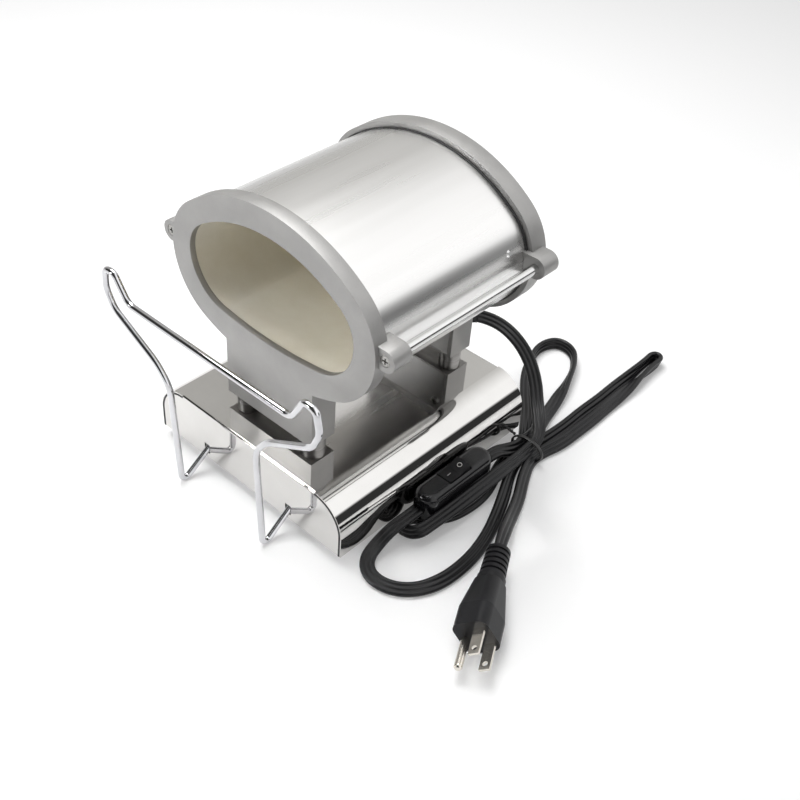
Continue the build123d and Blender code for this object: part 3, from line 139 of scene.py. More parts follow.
# %% Route of the cord between switch and plug
plug_route = [
    (0.0895, 0.0560, 0.0150, "flat"),
    (0.0895, 0.0455, 0.0150, "flat"),
    (0.0878, 0.0345, 0.0125, "flat"),
    (0.0866, 0.0240, 0.0065, "flat"),
    (0.0880, 0.0138, 0.0032, "slant"),
    (0.0960, 0.0062, 0.0032, "slant"),
    (0.1070, 0.0052, 0.0032, "slant"),
    (0.1175, 0.0100, 0.0032, "slant"),
    (0.1255, 0.0195, 0.0032, "slant"),
    (0.1300, 0.0325, 0.0036, "lean"),
    (0.1310, 0.0475, 0.0039, "lean"),
    (0.1295, 0.0630, 0.0039, "lean"),
    (0.1255, 0.0790, 0.0039, "lean"),
    (0.1190, 0.0955, 0.0039, "lean"),
    (0.1115, 0.1120, 0.0040, "lean"),
    (0.1026, 0.1286, 0.0044, "steep"),
    (0.0972, 0.1450, 0.0044, "steep"),
    (0.0970, 0.1585, 0.0044, "steep"),
    (0.0988, 0.1740, 0.0042, "lean"),
    (0.0996, 0.1920, 0.0040, "lean"),
    (0.0990, 0.2110, 0.0040, "lean"),
    (0.0996, 0.2300, 0.0040, "lean"),
    (0.0990, 0.2490, 0.0040, "lean"),
    (0.0992, 0.2680, 0.0044, "steep"),
    (0.0986, 0.2860, 0.0048, "edge"),
    (0.0982, 0.3000, 0.0048, "in"),
    (0.1050, 0.3000, 0.0048, "in"),
    (0.1052, 0.2870, 0.0048, "west"),
    (0.1056, 0.2720, 0.0048, "left"),
    (0.1062, 0.2520, 0.0038, "flat"),
    (0.1072, 0.2310, 0.0040, "lean"),
    (0.1080, 0.2120, 0.0040, "lean"),
    (0.1078, 0.1930, 0.0040, "lean"),
    (0.1076, 0.1755, 0.0042, "lean"),
    (0.1040, 0.1590, 0.0044, "steep"),
    (0.1044, 0.1465, 0.0044, "steep"),
    (0.1108, 0.1316, 0.0040, "lean"),
    (0.1196, 0.1160, 0.0040, "lean"),
    (0.1262, 0.1005, 0.0064, "lean"),
    (0.1324, 0.0864, 0.0110, "lean"),
    (0.1381, 0.0739, 0.0137, "plug"),
    (0.1430, 0.0646, 0.0137, "plug"),
]
print("plug route points", len(plug_route))

# %% Which way the cable's broad side faces for each word
lies = {
    "flat": (0.0, 0.0, 1.0),
    "slant": (0.22, -0.22, 0.95),
    "lean": (0.66, -0.12, 0.74),
    "steep": (0.86, -0.12, 0.50),
    "show": (0.45, -0.45, 0.77),
    "edge": (1.0, 0.0, 0.10),
    "left": (-0.90, 0.0, 0.44),
    "front": (0.05, -1.0, 0.10),
    "in": (0.0, -1.0, 0.10),
    "west": (-1.0, 0.0, 0.10),
    "plug": (0.48, 0.25, 0.84),
}
print("words in use", len({lie for x, y, z, lie in supply_route + plug_route}), "of", len(lies))

# %% [markdown]
# A curve with a bevel could make a cord at once, but it would twist as it liked, and a flat
# cable shows every twist. So Blender only works out the smooth spline here, and a helper
# reads its points back. The broad side's direction runs through a spline of its own, which
# turns the cable as gently as the route bends, and the outline is then swept by hand.

# %% Read a smooth line off a spline
spline_steps = 12


def spline_points(points):
    """Points of the smooth spline that has these as its control points."""
    curve = bpy.data.curves.new("route", "CURVE")
    curve.dimensions = "3D"
    curve.resolution_u = spline_steps
    spline = curve.splines.new("NURBS")
    spline.points.add(len(points) - 1)
    for control, place in zip(spline.points, points):
        control.co = (*place, 1.0)
    spline.order_u = 3
    spline.use_endpoint_u = True
    holder = bpy.data.objects.new("route", curve)
    bpy.context.scene.collection.objects.link(holder)
    bpy.context.view_layer.update()
    smooth = holder.evaluated_get(bpy.context.evaluated_depsgraph_get())
    mesh = bpy.data.meshes.new_from_object(smooth)
    line = [vertex.co.copy() for vertex in mesh.vertices]
    bpy.data.objects.remove(holder)
    bpy.data.meshes.remove(mesh)
    bpy.data.curves.remove(curve)
    return line


def line_length(line):
    """Length along a row of points."""
    return sum((b - a).length for a, b in zip(line, line[1:]))


# %% Sweep an outline along a line
def sweep_outline(name, line, sides, outlines):
    """A closed tube: outlines gives one ring of (across, out) offsets for each point."""
    mesh = bpy.data.meshes.new(name)
    form = bmesh.new()
    rings = []
    for i, place in enumerate(line):
        ahead = (line[min(i + 1, len(line) - 1)] - line[max(i - 1, 0)]).normalized()
        out = (sides[i] - ahead * sides[i].dot(ahead)).normalized()
        across = ahead.cross(out)
        rings.append([form.verts.new(place + across * a + out * b) for a, b in outlines[i]])
    count = len(rings[0])
    for first, second in zip(rings, rings[1:]):
        for k in range(count):
            after = (k + 1) % count
            form.faces.new((first[k], first[after], second[after], second[k]))
    form.faces.new(rings[0][::-1])
    form.faces.new(rings[-1])
    bmesh.ops.recalc_face_normals(form, faces=form.faces)
    form.to_mesh(mesh)
    form.free()
    piece = bpy.data.objects.new(name, mesh)
    bpy.context.scene.collection.objects.link(piece)
    for face in mesh.polygons:
        face.use_smooth = True
    return piece


# %% [markdown]
# The cable's jacket shows three ridges with two grooves between them on both broad sides. A
# plain oval would shine as one band, where the real cable shows three thin ones. So its
# outline is built from arcs round the three cores, each from one groove to the next.

# %% Outline of the flat three-core cable
core_radius = 0.00166
core_pitch = 0.00284
side_steps = 10
middle_steps = 4
groove_turn = acos(core_pitch / 2 / core_radius)


def arc(centre, start, end, steps):
    """Points on one core's jacket, from one groove to the next."""
    turns = [start + (end - start) * k / steps for k in range(steps)]
    return [(centre + core_radius * cos(t), core_radius * sin(t)) for t in turns]


cable_outline = (
    arc(core_pitch, groove_turn - pi, pi - groove_turn, side_steps)
    + arc(0.0, groove_turn, pi - groove_turn, middle_steps)
    + arc(-core_pitch, groove_turn, 2 * pi - groove_turn, side_steps)
    + arc(0.0, pi + groove_turn, 2 * pi - groove_turn, middle_steps)
)

# %% Make the two cables
grip_points = 14
gripped = 0.85


def make_cable(name, route, first_scale, last_scale):
    """One cable along a route; its ends narrow where a sleeve grips them."""
    line = spline_points([(x, y + panel_y, z) for x, y, z, lie in route])
    sides = spline_points([lies[lie] for x, y, z, lie in route])
    outlines = []
    for i in range(len(line)):
        grip = max(0.0, 1.0 - i / grip_points)
        tail = max(0.0, 1.0 - (len(line) - 1 - i) / grip_points)
        scale = 1.0 + (first_scale - 1.0) * grip + (last_scale - 1.0) * tail
        outlines.append([(a * scale, b * scale) for a, b in cable_outline])
    piece = sweep_outline(name, line, sides, outlines)
    print(name, "is", round(line_length(line), 4), "m long")
    return piece, line, sides


supply_cable, supply_line, supply_sides = make_cable("supply_cable", supply_route, gripped, 1.0)
plug_cable, plug_line = make_cable("plug_cable", plug_route, 1.0, gripped)[:2]

# %% [markdown]
# Where the cable leaves the rear casting, a moulded sleeve takes the bending. It starts as a
# ribbed round collar against the wall and tapers until it hugs the flat cable. A bent cone
# could stand for it, but then it would have to be fitted to the cable by eye. Swept along
# the cable's own points, the two can never come apart.

# %% Strain relief at the rear wall
sleeve_length = 0.030
sleeve_inside_wall = 0.0035
sleeve_radius = 0.0040
sleeve_widening, sleeve_narrowing, sleeve_flattening = 0.0012, 0.0002, 0.0014
collar_height, collar_reach, collar_run = 0.0010, 0.0022, 0.008
rib_height, rib_start = 0.00035, 0.3
sleeve_round = 32
sleeve_line = []
sleeve_sides = []
for place, side in zip(supply_line, supply_sides):
    if place.y > wall_y - sleeve_inside_wall and line_length(sleeve_line) < sleeve_length:
        sleeve_line.append(place)
        sleeve_sides.append(side)
sleeve_outlines = []
run = 0.0
for i, place in enumerate(sleeve_line):
    run += (place - sleeve_line[i - 1]).length if i else 0.0
    share = min(1.0, run / sleeve_length)
    on_collar = 0.0 < place.y - wall_y < collar_reach and run < collar_run
    raised = collar_height if on_collar else 0.0
    raised += rib_height if (i // 2) % 2 and share > rib_start else 0.0
    widened = sleeve_widening * min(1.0, 3 * share) - sleeve_narrowing * share
    half_across = sleeve_radius + widened + raised
    half_out = sleeve_radius - sleeve_flattening * share + raised
    turns = [2 * pi * k / sleeve_round for k in range(sleeve_round)]
    sleeve_outlines.append([(half_across * cos(t), half_out * sin(t)) for t in turns])
cord_sleeve = sweep_outline("cord_sleeve", sleeve_line, sleeve_sides, sleeve_outlines)
print("sleeve points", len(sleeve_line), "run", round(run, 4))

# %% [markdown]
# Operators act on whatever is selected, and a piece often has to be copied, joined or given
# one material. Clicking does this by hand. In a script it is safer to say each time which
# pieces are meant, so these small helpers do it for every piece below.

# %% Helpers for operators
merge_distance = 0.00001


def select_only(*pieces):
    """Select these pieces and nothing else; the first one is the active one."""
    bpy.ops.object.select_all(action="DESELECT")
    for piece in pieces:
        piece.select_set(True)
    if pieces:
        bpy.context.view_layer.objects.active = pieces[0]


def join_pieces(pieces, name):
    """Join the pieces into the first one and give it a name."""
    select_only(*pieces)
    bpy.ops.object.join()
    whole = bpy.context.object
    whole.name = name
    return whole


def dress(piece, material):
    """Give the piece this material alone."""
    piece.data.materials.clear()
    piece.data.materials.append(material)


def copy_node(node_name, new_name):
    """A free copy of a node, open in edit mode, with its loose triangles merged."""
    select_only(nodes[node_name])
    bpy.ops.object.duplicate()
    piece = bpy.context.object
    piece.name = new_name
    for key in list(piece.keys()):
        if key.startswith("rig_"):
            del piece[key]
    piece.parent = None
    bpy.ops.object.mode_set(mode="EDIT")
    bpy.ops.mesh.select_all(action="SELECT")
    bpy.ops.mesh.remove_doubles(threshold=merge_distance)
    return piece


# %% [markdown]
# The hank is held by a thin black wire tie, pulled tight and twisted. The frame has it as a
# square loop. Here it is a torus stretched to the bundle's outline in edit mode, because a
# pulled wire runs round a bundle in an even oval, and its twisted tails are two fine wires
# wound round each other, which one bevelled curve for each makes with the least work.

# %% Loop of the tie
tie_y = panel_y + 0.1525
tie_middle = (0.0972, tie_y, 0.0078)
tie_stretch = (1.16, 2.4, 0.76)
tie_lowest = 0.0003
select_only()
bpy.ops.mesh.primitive_torus_add(
    location=tie_middle, rotation=(pi / 2, 0, 0),
    major_radius=0.01, minor_radius=0.0006, major_segments=64, minor_segments=10,
)
tie_loop = bpy.context.object
bpy.ops.object.transform_apply(location=True, rotation=True, scale=True)
bpy.ops.object.mode_set(mode="EDIT")
bpy.ops.mesh.select_all(action="SELECT")
bpy.ops.transform.resize(value=tie_stretch, center_override=tie_middle)
bpy.ops.object.mode_set(mode="OBJECT")
for vertex in tie_loop.data.vertices:
    vertex.co.z = max(vertex.co.z, tie_lowest)
bpy.ops.object.shade_smooth()
print("tie loop", len(tie_loop.data.vertices), "vertices")

# %% Twisted tails of the tie
tail_start = Vector((0.0875, tie_y - 0.001, 0.0142))
tail_run = Vector((-0.62, -0.35, 0.50)).normalized() * 0.0115
tail_winding = 0.00055
tail_turns = 2.5
tail_steps = 27
tail_across = tail_run.cross(Vector((0, 0, 1))).normalized()
tail_above = tail_across.cross(tail_run).normalized()
tails = []
for turn_start in (0.0, pi):
    wire = bpy.data.curves.new("tie_tail", "CURVE")
    wire.dimensions = "3D"
    wire.bevel_depth = 0.0005
    wire.bevel_resolution = 2
    spline = wire.splines.new("NURBS")
    spline.points.add(tail_steps)
    for k, control in enumerate(spline.points):
        spin = turn_start + 2 * pi * tail_turns * k / tail_steps
        wound = (tail_across * cos(spin) + tail_above * sin(spin)) * tail_winding
        control.co = (*(tail_start + tail_run * (k / tail_steps) + wound), 1.0)
    spline.order_u = 3
    spline.use_endpoint_u = True
    tail = bpy.data.objects.new("tie_tail", wire)
    bpy.context.scene.collection.objects.link(tail)
    tails.append(tail)
select_only(*tails)
bpy.ops.object.convert(target="MESH")
cord_tie = join_pieces([tie_loop, *bpy.context.selected_objects], "hank_tie")
print("tie faces", len(cord_tie.data.polygons))

# %% [markdown]
# Real metal is never one even colour. An image could carry its clouds and grain, but an
# image has seams and one fixed size. So every finish below mixes two tones with a cloudy
# pattern and lifts or lowers the surface a little with a finer one. That pair of patterns is
# one shared node group, and each material only sets its own scales and keeps its own shader.

# %% Shared surface pattern
pattern = bpy.data.node_groups.new("surface_pattern", "ShaderNodeTree")
for socket, way, kind in (
    ("Cloud Scale", "INPUT", "NodeSocketFloat"),
    ("Grain Scale", "INPUT", "NodeSocketFloat"),
    ("Stretch", "INPUT", "NodeSocketVector"),
    ("Tone", "OUTPUT", "NodeSocketFloat"),
    ("Grain", "OUTPUT", "NodeSocketFloat"),
):
    pattern.interface.new_socket(socket, in_out=way, socket_type=kind)
pins = pattern.nodes.new("NodeGroupInput")
ends = pattern.nodes.new("NodeGroupOutput")
place_node = pattern.nodes.new("ShaderNodeTexCoord")
stretch_node = pattern.nodes.new("ShaderNodeVectorMath")
stretch_node.operation = "MULTIPLY"
pattern.links.new(place_node.outputs["Object"], stretch_node.inputs[0])
pattern.links.new(pins.outputs["Stretch"], stretch_node.inputs[1])
for scale, detail, roughness, result in (
    ("Cloud Scale", 5.0, 0.6, "Tone"), ("Grain Scale", 3.0, 0.55, "Grain"),
):
    noise = pattern.nodes.new("ShaderNodeTexNoise")
    noise.inputs["Detail"].default_value = detail
    noise.inputs["Roughness"].default_value = roughness
    pattern.links.new(stretch_node.outputs["Vector"], noise.inputs["Vector"])
    pattern.links.new(pins.outputs[scale], noise.inputs["Scale"])
    pattern.links.new(noise.outputs["Fac"], ends.inputs[result])
print("pattern nodes", len(pattern.nodes))


# %% A finish from two tones and a grain
def make_finish(name, dark, light, metal, rough, cloud_scale, grain_scale, depth,
                stretch=(1, 1, 1), rough_spread=0.06, shine=0.5):
    """A material whose colour and roughness wander with the cloud and whose grain is a bump."""
    material = bpy.data.materials.new(name)
    material.use_nodes = True
    tree = material.node_tree
    shader = tree.nodes["Principled BSDF"]
    shader.inputs["Metallic"].default_value = metal
    shader.inputs["Specular IOR Level"].default_value = shine
    marks = tree.nodes.new("ShaderNodeGroup")
    marks.node_tree = pattern
    marks.inputs["Cloud Scale"].default_value = cloud_scale
    marks.inputs["Grain Scale"].default_value = grain_scale
    marks.inputs["Stretch"].default_value = stretch
    spread = tree.nodes.new("ShaderNodeMapRange")
    spread.inputs["From Min"].default_value = 0.3
    spread.inputs["From Max"].default_value = 0.7
    tones = tree.nodes.new("ShaderNodeMix")
    tones.data_type = "RGBA"
    tones.inputs["A"].default_value = (*dark, 1)
    tones.inputs["B"].default_value = (*light, 1)
    gloss = tree.nodes.new("ShaderNodeMapRange")
    gloss.inputs["To Min"].default_value = max(0.0, rough - rough_spread)
    gloss.inputs["To Max"].default_value = rough + rough_spread
    bump = tree.nodes.new("ShaderNodeBump")
    bump.inputs["Strength"].default_value = 0.6
    bump.inputs["Distance"].default_value = depth
    tree.links.new(marks.outputs["Tone"], spread.inputs["Value"])
    tree.links.new(spread.outputs["Result"], tones.inputs["Factor"])
    tree.links.new(tones.outputs["Result"], shader.inputs["Base Color"])
    tree.links.new(marks.outputs["Tone"], gloss.inputs["Value"])
    tree.links.new(gloss.outputs["Result"], shader.inputs["Roughness"])
    tree.links.new(marks.outputs["Grain"], bump.inputs["Height"])
    tree.links.new(bump.outputs["Normal"], shader.inputs["Normal"])
    return material


# %% [markdown]
# The base is mirror polished. The drum is the same steel with a softer, rolled shine, whose
# faint lines could be drawn one by one. Stretching the pattern along the drum's length gives
# the same lines for nothing, and the turned standoffs get theirs the same way.

# %% Bright metals
mirror_steel = make_finish(
    "mirror_steel", (0.62, 0.61, 0.595), (0.70, 0.69, 0.675), metal=1.0, rough=0.05,
    cloud_scale=14, grain_scale=40, depth=0.00002, rough_spread=0.03,
)
drum_steel = make_finish(
    "drum_steel", (0.72, 0.715, 0.705), (0.80, 0.795, 0.79), metal=1.0, rough=0.28,
    cloud_scale=30, grain_scale=220, depth=0.00003, stretch=(1.0, 0.05, 1.0), rough_spread=0.08,
)
rod_steel = make_finish(
    "rod_steel", (0.60, 0.60, 0.60), (0.74, 0.74, 0.73), metal=1.0, rough=0.16,
    cloud_scale=60, grain_scale=400, depth=0.00002, stretch=(1, 0.1, 1),
)
chrome = make_finish(
    "chrome", (0.56, 0.56, 0.58), (0.70, 0.70, 0.72), metal=1.0, rough=0.06,
    cloud_scale=30, grain_scale=200, depth=0.00001, rough_spread=0.03,
)
nickel = make_finish(
    "nickel", (0.60, 0.57, 0.51), (0.76, 0.72, 0.66), metal=1.0, rough=0.18,
    cloud_scale=90, grain_scale=500, depth=0.00002,
)
brass = make_finish(
    "brass", (0.55, 0.40, 0.18), (0.68, 0.52, 0.26), metal=1.0, rough=0.3,
    cloud_scale=90, grain_scale=700, depth=0.00003,
)
print("bright metals made, materials now", len(bpy.data.materials))

# %% [markdown]
# The castings are sand cast and bead blasted, so they are pale grey, quite matt and slightly
# pitted. Real pits could be sculpted, but they are far smaller than a pixel, so a fine bump
# is enough. The hidden sheet, screws and winding are duller steels.

# %% Matt metals
cast_metal = make_finish(
    "cast_metal", (0.32, 0.316, 0.310), (0.37, 0.365, 0.358), metal=0.80, rough=0.47,
    cloud_scale=45, grain_scale=1100, depth=0.00022,
)
plain_steel = make_finish(
    "plain_steel", (0.42, 0.42, 0.42), (0.47, 0.47, 0.47), metal=1.0, rough=0.32,
    cloud_scale=30, grain_scale=300, depth=0.00003,
)
screw_steel = make_finish(
    "screw_steel", (0.34, 0.335, 0.32), (0.50, 0.49, 0.475), metal=1.0, rough=0.22,
    cloud_scale=120, grain_scale=900, depth=0.00003,
)
turned_metal = make_finish(
    "turned_metal", (0.24, 0.235, 0.23), (0.36, 0.355, 0.35), metal=1.0, rough=0.34,
    cloud_scale=50, grain_scale=500, depth=0.00004, stretch=(1, 1, 6),
)
winding = make_finish(
    "winding", (0.16, 0.15, 0.14), (0.25, 0.24, 0.23), metal=1.0, rough=0.45,
    cloud_scale=60, grain_scale=600, depth=0.00005,
)
print("matt metals made, materials now", len(bpy.data.materials))

# %% [markdown]
# The muffle is unglazed cream clay, and the blanket round it is white fibre. Both scatter
# light deep inside, which Blender could follow with subsurface light. A plain rough surface
# looks the same on such thick, chalky stuff and renders much faster.

# %% Clays and blanket
cream_clay = make_finish(
    "cream_clay", (0.72, 0.67, 0.55), (0.84, 0.81, 0.72), metal=0.0, rough=0.60,
    cloud_scale=18, grain_scale=500, depth=0.00008,
)
white_clay = make_finish(
    "white_clay", (0.68, 0.67, 0.64), (0.80, 0.79, 0.77), metal=0.0, rough=0.45,
    cloud_scale=60, grain_scale=500, depth=0.00005,
)
blanket = make_finish(
    "blanket", (0.66, 0.65, 0.62), (0.80, 0.79, 0.76), metal=0.0, rough=0.95,
    cloud_scale=90, grain_scale=700, depth=0.0004,
)
print("clays and blanket made, materials now", len(bpy.data.materials))

# %% [markdown]
# The cable, plug, switch and tie are all black, and one black could serve for all. On the
# real set they differ in shine: the switch is glossy, the cable has a soft line of light on
# each ridge, and the plug is duller. So their tones are close and their roughness differs.

# %% Rubber and plastics
foot_rubber = make_finish(
    "foot_rubber", (0.015, 0.015, 0.015), (0.03, 0.03, 0.03), metal=0.0, rough=0.7,
    cloud_scale=80, grain_scale=900, depth=0.0001,
)
cable_jacket = make_finish(
    "cable_jacket", (0.006, 0.006, 0.007), (0.013, 0.013, 0.014), metal=0.0, rough=0.32,
    cloud_scale=60, grain_scale=1200, depth=0.00004, shine=0.32,
)
tie_coat = make_finish(
    "tie_coat", (0.006, 0.006, 0.006), (0.016, 0.016, 0.016), metal=0.0, rough=0.35,
    cloud_scale=90, grain_scale=900, depth=0.00005,
)
switch_shell = make_finish(
    "switch_shell", (0.006, 0.006, 0.007), (0.016, 0.016, 0.018), metal=0.0, rough=0.14,
    cloud_scale=60, grain_scale=300, depth=0.00001, shine=0.4,
)
rocker_shell = make_finish(
    "rocker_shell", (0.006, 0.006, 0.007), (0.014, 0.014, 0.015), metal=0.0, rough=0.30,
    cloud_scale=90, grain_scale=400, depth=0.00001, shine=0.25,
)
plug_vinyl = make_finish(
    "plug_vinyl", (0.007, 0.007, 0.008), (0.016, 0.016, 0.018), metal=0.0, rough=0.36,
    cloud_scale=50, grain_scale=1000, depth=0.00005, shine=0.2,
)
black_sleeving = make_finish(
    "black_sleeving", (0.012, 0.012, 0.012), (0.03, 0.03, 0.03), metal=0.0, rough=0.4,
    cloud_scale=90, grain_scale=900, depth=0.00004,
)
green_sleeving = make_finish(
    "green_sleeving", (0.02, 0.16, 0.05), (0.04, 0.24, 0.08), metal=0.0, rough=0.4,
    cloud_scale=90, grain_scale=900, depth=0.00004,
)
print("rubber and plastics made, materials now", len(bpy.data.materials))

# %% [markdown]
# Each node of the frame is one real piece and gets the finish of what it is made of. That
# could be done piece by piece, but one table from names to finishes is easier to read and
# to change, and a node that it forgets stops the script at once.

# %% Put each finish on its nodes
finish_of = {
    "base_cover": mirror_steel, "base_plate": plain_steel, "rubber_feet": foot_rubber,
    "foot_screws": screw_steel, "foot_nuts": screw_steel, "rack_clips": plain_steel,
    "frame_standoffs": turned_metal, "bolt_washers": screw_steel, "frame_bolts": screw_steel,
    "front_frame": cast_metal, "rear_frame": cast_metal, "drum_shell": drum_steel,
    "shell_rivets": rod_steel, "muffle": cream_clay, "heating_coil": winding,
    "insulation_blanket": blanket, "rear_plug": cream_clay, "rear_cover": plain_steel,
    "rear_cover_screws": screw_steel, "tie_rods": rod_steel, "tie_rod_screws": screw_steel,
    "terminal_block": white_clay, "terminal_screws": brass, "coil_leads": winding,
    "inner_conductors": black_sleeving, "ground_conductor": green_sleeving,
    "ground_screw": brass, "terminal_cover": plain_steel, "terminal_cover_screws": screw_steel,
    "rod_rest": chrome, "cord_supply_hank": cable_jacket, "cord_plug_hank": cable_jacket,
    "cord_gland": cable_jacket, "cord_tie": tie_coat, "switch_lower_case": switch_shell,
    "switch_upper_case": switch_shell, "switch_rocker": rocker_shell,
    "switch_screws": screw_steel, "switch_contacts": nickel, "plug_strain_relief": plug_vinyl,
    "plug_body": plug_vinyl, "plug_blades": nickel, "plug_ground_pin": nickel,
}
for name, node in nodes.items():
    dress(node, finish_of[name])
for piece in (supply_cable, plug_cable, cord_sleeve):
    dress(piece, cable_jacket)
dress(cord_tie, tie_coat)
print("nodes finished", len(nodes))

# %% [markdown]
# A casting never has knife edges, because sand can't hold them, but the frame's solids do.
# The edges could be filed in the shader, but that wouldn't change the outline. So each
# casting is copied, its triangles are joined into flat faces again, and a bevel rounds every
# sharp edge. The copy then stands for the frame's node.

# %% Round the edges of both castings
casting_round = 0.0008
casting_steps = 3
flat_within = radians(0.5)
sharp_from = radians(40)
smooth_within = radians(35)


def soften_casting(node_name, new_name):
    """A copy of a node whose sharp edges are rounded by a bevel."""
    piece = copy_node(node_name, new_name)
    bpy.ops.mesh.dissolve_limited(angle_limit=flat_within)
    bpy.ops.object.mode_set(mode="OBJECT")
    bevel = piece.modifiers.new("round_edges", "BEVEL")
    bevel.width = casting_round
    bevel.segments = casting_steps
    bevel.limit_method = "ANGLE"
    bevel.angle_limit = sharp_from
    bevel.harden_normals = False
    bpy.ops.object.modifier_apply(modifier=bevel.name)
    bpy.ops.object.shade_smooth_by_angle(angle=smooth_within)
    print(new_name, "faces", len(piece.data.polygons))
    return piece


front_casting = soften_casting("front_frame", "front_casting")
rear_casting = soften_casting("rear_frame", "rear_casting")

# %% [markdown]
# The rocker carries the usual on and off marks: a bar at one end and a ring at the other.
# They could be a picture on its face. A fine raised line keeps its edge from close by, and
# it is laid where a ray from above meets the rocker, so it follows the tilted face.

# %% Marks on the rocker
mark_line = 0.00022
mark_ring = 0.0014
mark_bar = 0.0030
ray_height = 0.02
rocker = nodes["switch_rocker"]
rocker_low, rocker_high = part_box("switch_rocker")
rocker_inverse = rocker.matrix_world.inverted()
down = (rocker_inverse.to_3x3() @ Vector((0, 0, -1))).normalized()
marks = []
for share, kind in ((0.24, "bar"), (0.76, "ring")):
    above = Vector((
        (rocker_low.x + rocker_high.x) / 2,
        rocker_low.y + (rocker_high.y - rocker_low.y) * share,
        rocker_high.z + ray_height,
    ))
    struck, spot, face_normal = rocker.ray_cast(rocker_inverse @ above, down)[:3]
    spot = rocker.matrix_world @ spot
    face_normal = (rocker.matrix_world.to_3x3() @ face_normal).normalized()
    select_only()
    if kind == "ring":
        bpy.ops.mesh.primitive_torus_add(
            major_radius=mark_ring, minor_radius=mark_line, major_segments=40, minor_segments=8,
        )
    else:
        bpy.ops.mesh.primitive_cylinder_add(
            vertices=12, radius=mark_line, depth=mark_bar, rotation=(pi / 2, 0, 0),
        )
    mark = bpy.context.object
    bpy.ops.object.transform_apply(location=True, rotation=True, scale=True)
    lay = face_normal.to_track_quat("Z", "Y").to_matrix().to_4x4()
    mark.data.transform(Matrix.Translation(spot) @ lay)
    marks.append(mark)
    print(kind, "struck", struck, "normal", [round(v, 2) for v in face_normal])
rocker_marks = join_pieces(marks, "rocker_marks")
bpy.ops.object.shade_smooth()
dress(rocker_marks, white_clay)

# %% [markdown]
# The gap between the drum and the rear ring lies in shade and shows as a thin black line,
# so a dark band of painted shade fills it. It could be swept round the rim like a cord. It
# is a slice of the drum's own skin instead, cut out with two bisects and pushed outwards, so
# it follows the oval exactly.

# %% Painted shade between drum and rear ring
rim_y = wall_y - 0.0124
shade_band_front = rim_y - 0.0012
shade_band_back = rim_y + 0.0002
shade_band_lift = 0.0008
oval_flat_half = 0.036
rim_gap_shade = copy_node("drum_shell", "rim_gap_shade")
bpy.ops.mesh.bisect(
    plane_co=(0, shade_band_front, 0), plane_no=(0, 1, 0), clear_inner=True, use_fill=True,
)
bpy.ops.mesh.select_all(action="SELECT")
bpy.ops.mesh.bisect(
    plane_co=(0, shade_band_back, 0), plane_no=(0, 1, 0), clear_outer=True, use_fill=True,
)
bpy.ops.mesh.select_all(action="SELECT")
bpy.ops.mesh.remove_doubles(threshold=merge_distance)
bpy.ops.object.mode_set(mode="OBJECT")
drum_low, drum_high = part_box("drum_shell")
drum_middle = (drum_low + drum_high) / 2
for vertex in rim_gap_shade.data.vertices:
    outward = Vector((vertex.co.x - drum_middle.x, 0, vertex.co.z - drum_middle.z))
    outward.x -= max(-oval_flat_half, min(oval_flat_half, outward.x))
    vertex.co += outward.normalized() * shade_band_lift
# The black band is painted shade in the gap between drum and ring.
dress(rim_gap_shade, foot_rubber)
print("seal faces", len(rim_gap_shade.data.polygons))

# %% [markdown]
# Between each end panel and the rolled side of the base there is a narrow slit, and on the
# real base its shade reads as a black line round the corner. Left open, it would let light
# through and vanish, so a dark strip of painted shade fills it. The strip could be a bevelled
# curve, but one small square spun through a quarter turn round the roll's centre gives the
# true radius at once, and its last face is then extruded straight down to the edge of the sheet.

# %% Painted shade in the slits round the base's corners
cover_low, cover_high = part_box("base_cover")
roll_radius = 0.0222
shade_strip_width = 0.0011
shade_strip_sink = 0.00145
shade_strip_inset = 0.3 * shade_strip_width
shade_strip_steps = 20
straight_run = cover_high.z - roll_radius - cover_low.z
slit_shade_strips = []
for end_y, inward in ((cover_low.y, 1), (cover_high.y, -1)):
    for side in (-1, 1):
        roll_x = side * (cover_high.x - roll_radius)
        select_only()
        bpy.ops.mesh.primitive_plane_add(
            size=shade_strip_width, rotation=(0, pi / 2, 0),
            location=(roll_x, end_y + inward * shade_strip_inset, cover_high.z - shade_strip_sink),
        )
        bpy.ops.object.transform_apply(location=True, rotation=True, scale=True)
        bpy.ops.object.mode_set(mode="EDIT")
        bpy.ops.mesh.select_all(action="SELECT")
        bpy.ops.mesh.spin(
            steps=shade_strip_steps, angle=-side * pi / 2, axis=(0, 1, 0),
            center=(roll_x, end_y, cover_high.z - roll_radius),
        )
        bpy.ops.mesh.extrude_region_move(
            TRANSFORM_OT_translate={"value": (0, 0, -straight_run)},
        )
        bpy.ops.mesh.select_all(action="SELECT")
        bpy.ops.mesh.normals_make_consistent(inside=False)
        bpy.ops.object.mode_set(mode="OBJECT")
        slit_shade_strips.append(bpy.context.object)
        print("seam", [round(v, 4) for v in bpy.context.object.dimensions])
corner_slit_shade = join_pieces(slit_shade_strips, "corner_slit_shade")
# The dark strips are painted shade in the slits, in the black rubber finish.
dress(corner_slit_shade, foot_rubber)

# %% [markdown]
# The castings, cords and bands of painted shade stay with the oven's body, and only the
# marks tilt with the rocker, as on the real oven. In Blender a piece could be parented by
# hand. The helpers above do it here, so that each piece moves as the real one does, and
# the solids that the new pieces stand for are hidden.

# %% Fasten the pieces to the model
for piece in (
    supply_cable, plug_cable, cord_sleeve, cord_tie,
    front_casting, rear_casting, rim_gap_shade, corner_slit_shade,
):
    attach(piece, "oven")
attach(rocker_marks, "switch_rocker")
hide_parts("cord_supply_hank")
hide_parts("cord_plug_hank")
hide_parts("cord_gland")
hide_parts("cord_tie")
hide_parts("front_frame")
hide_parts("rear_frame")
print("pieces on the oven's body and its rocker are fastened")
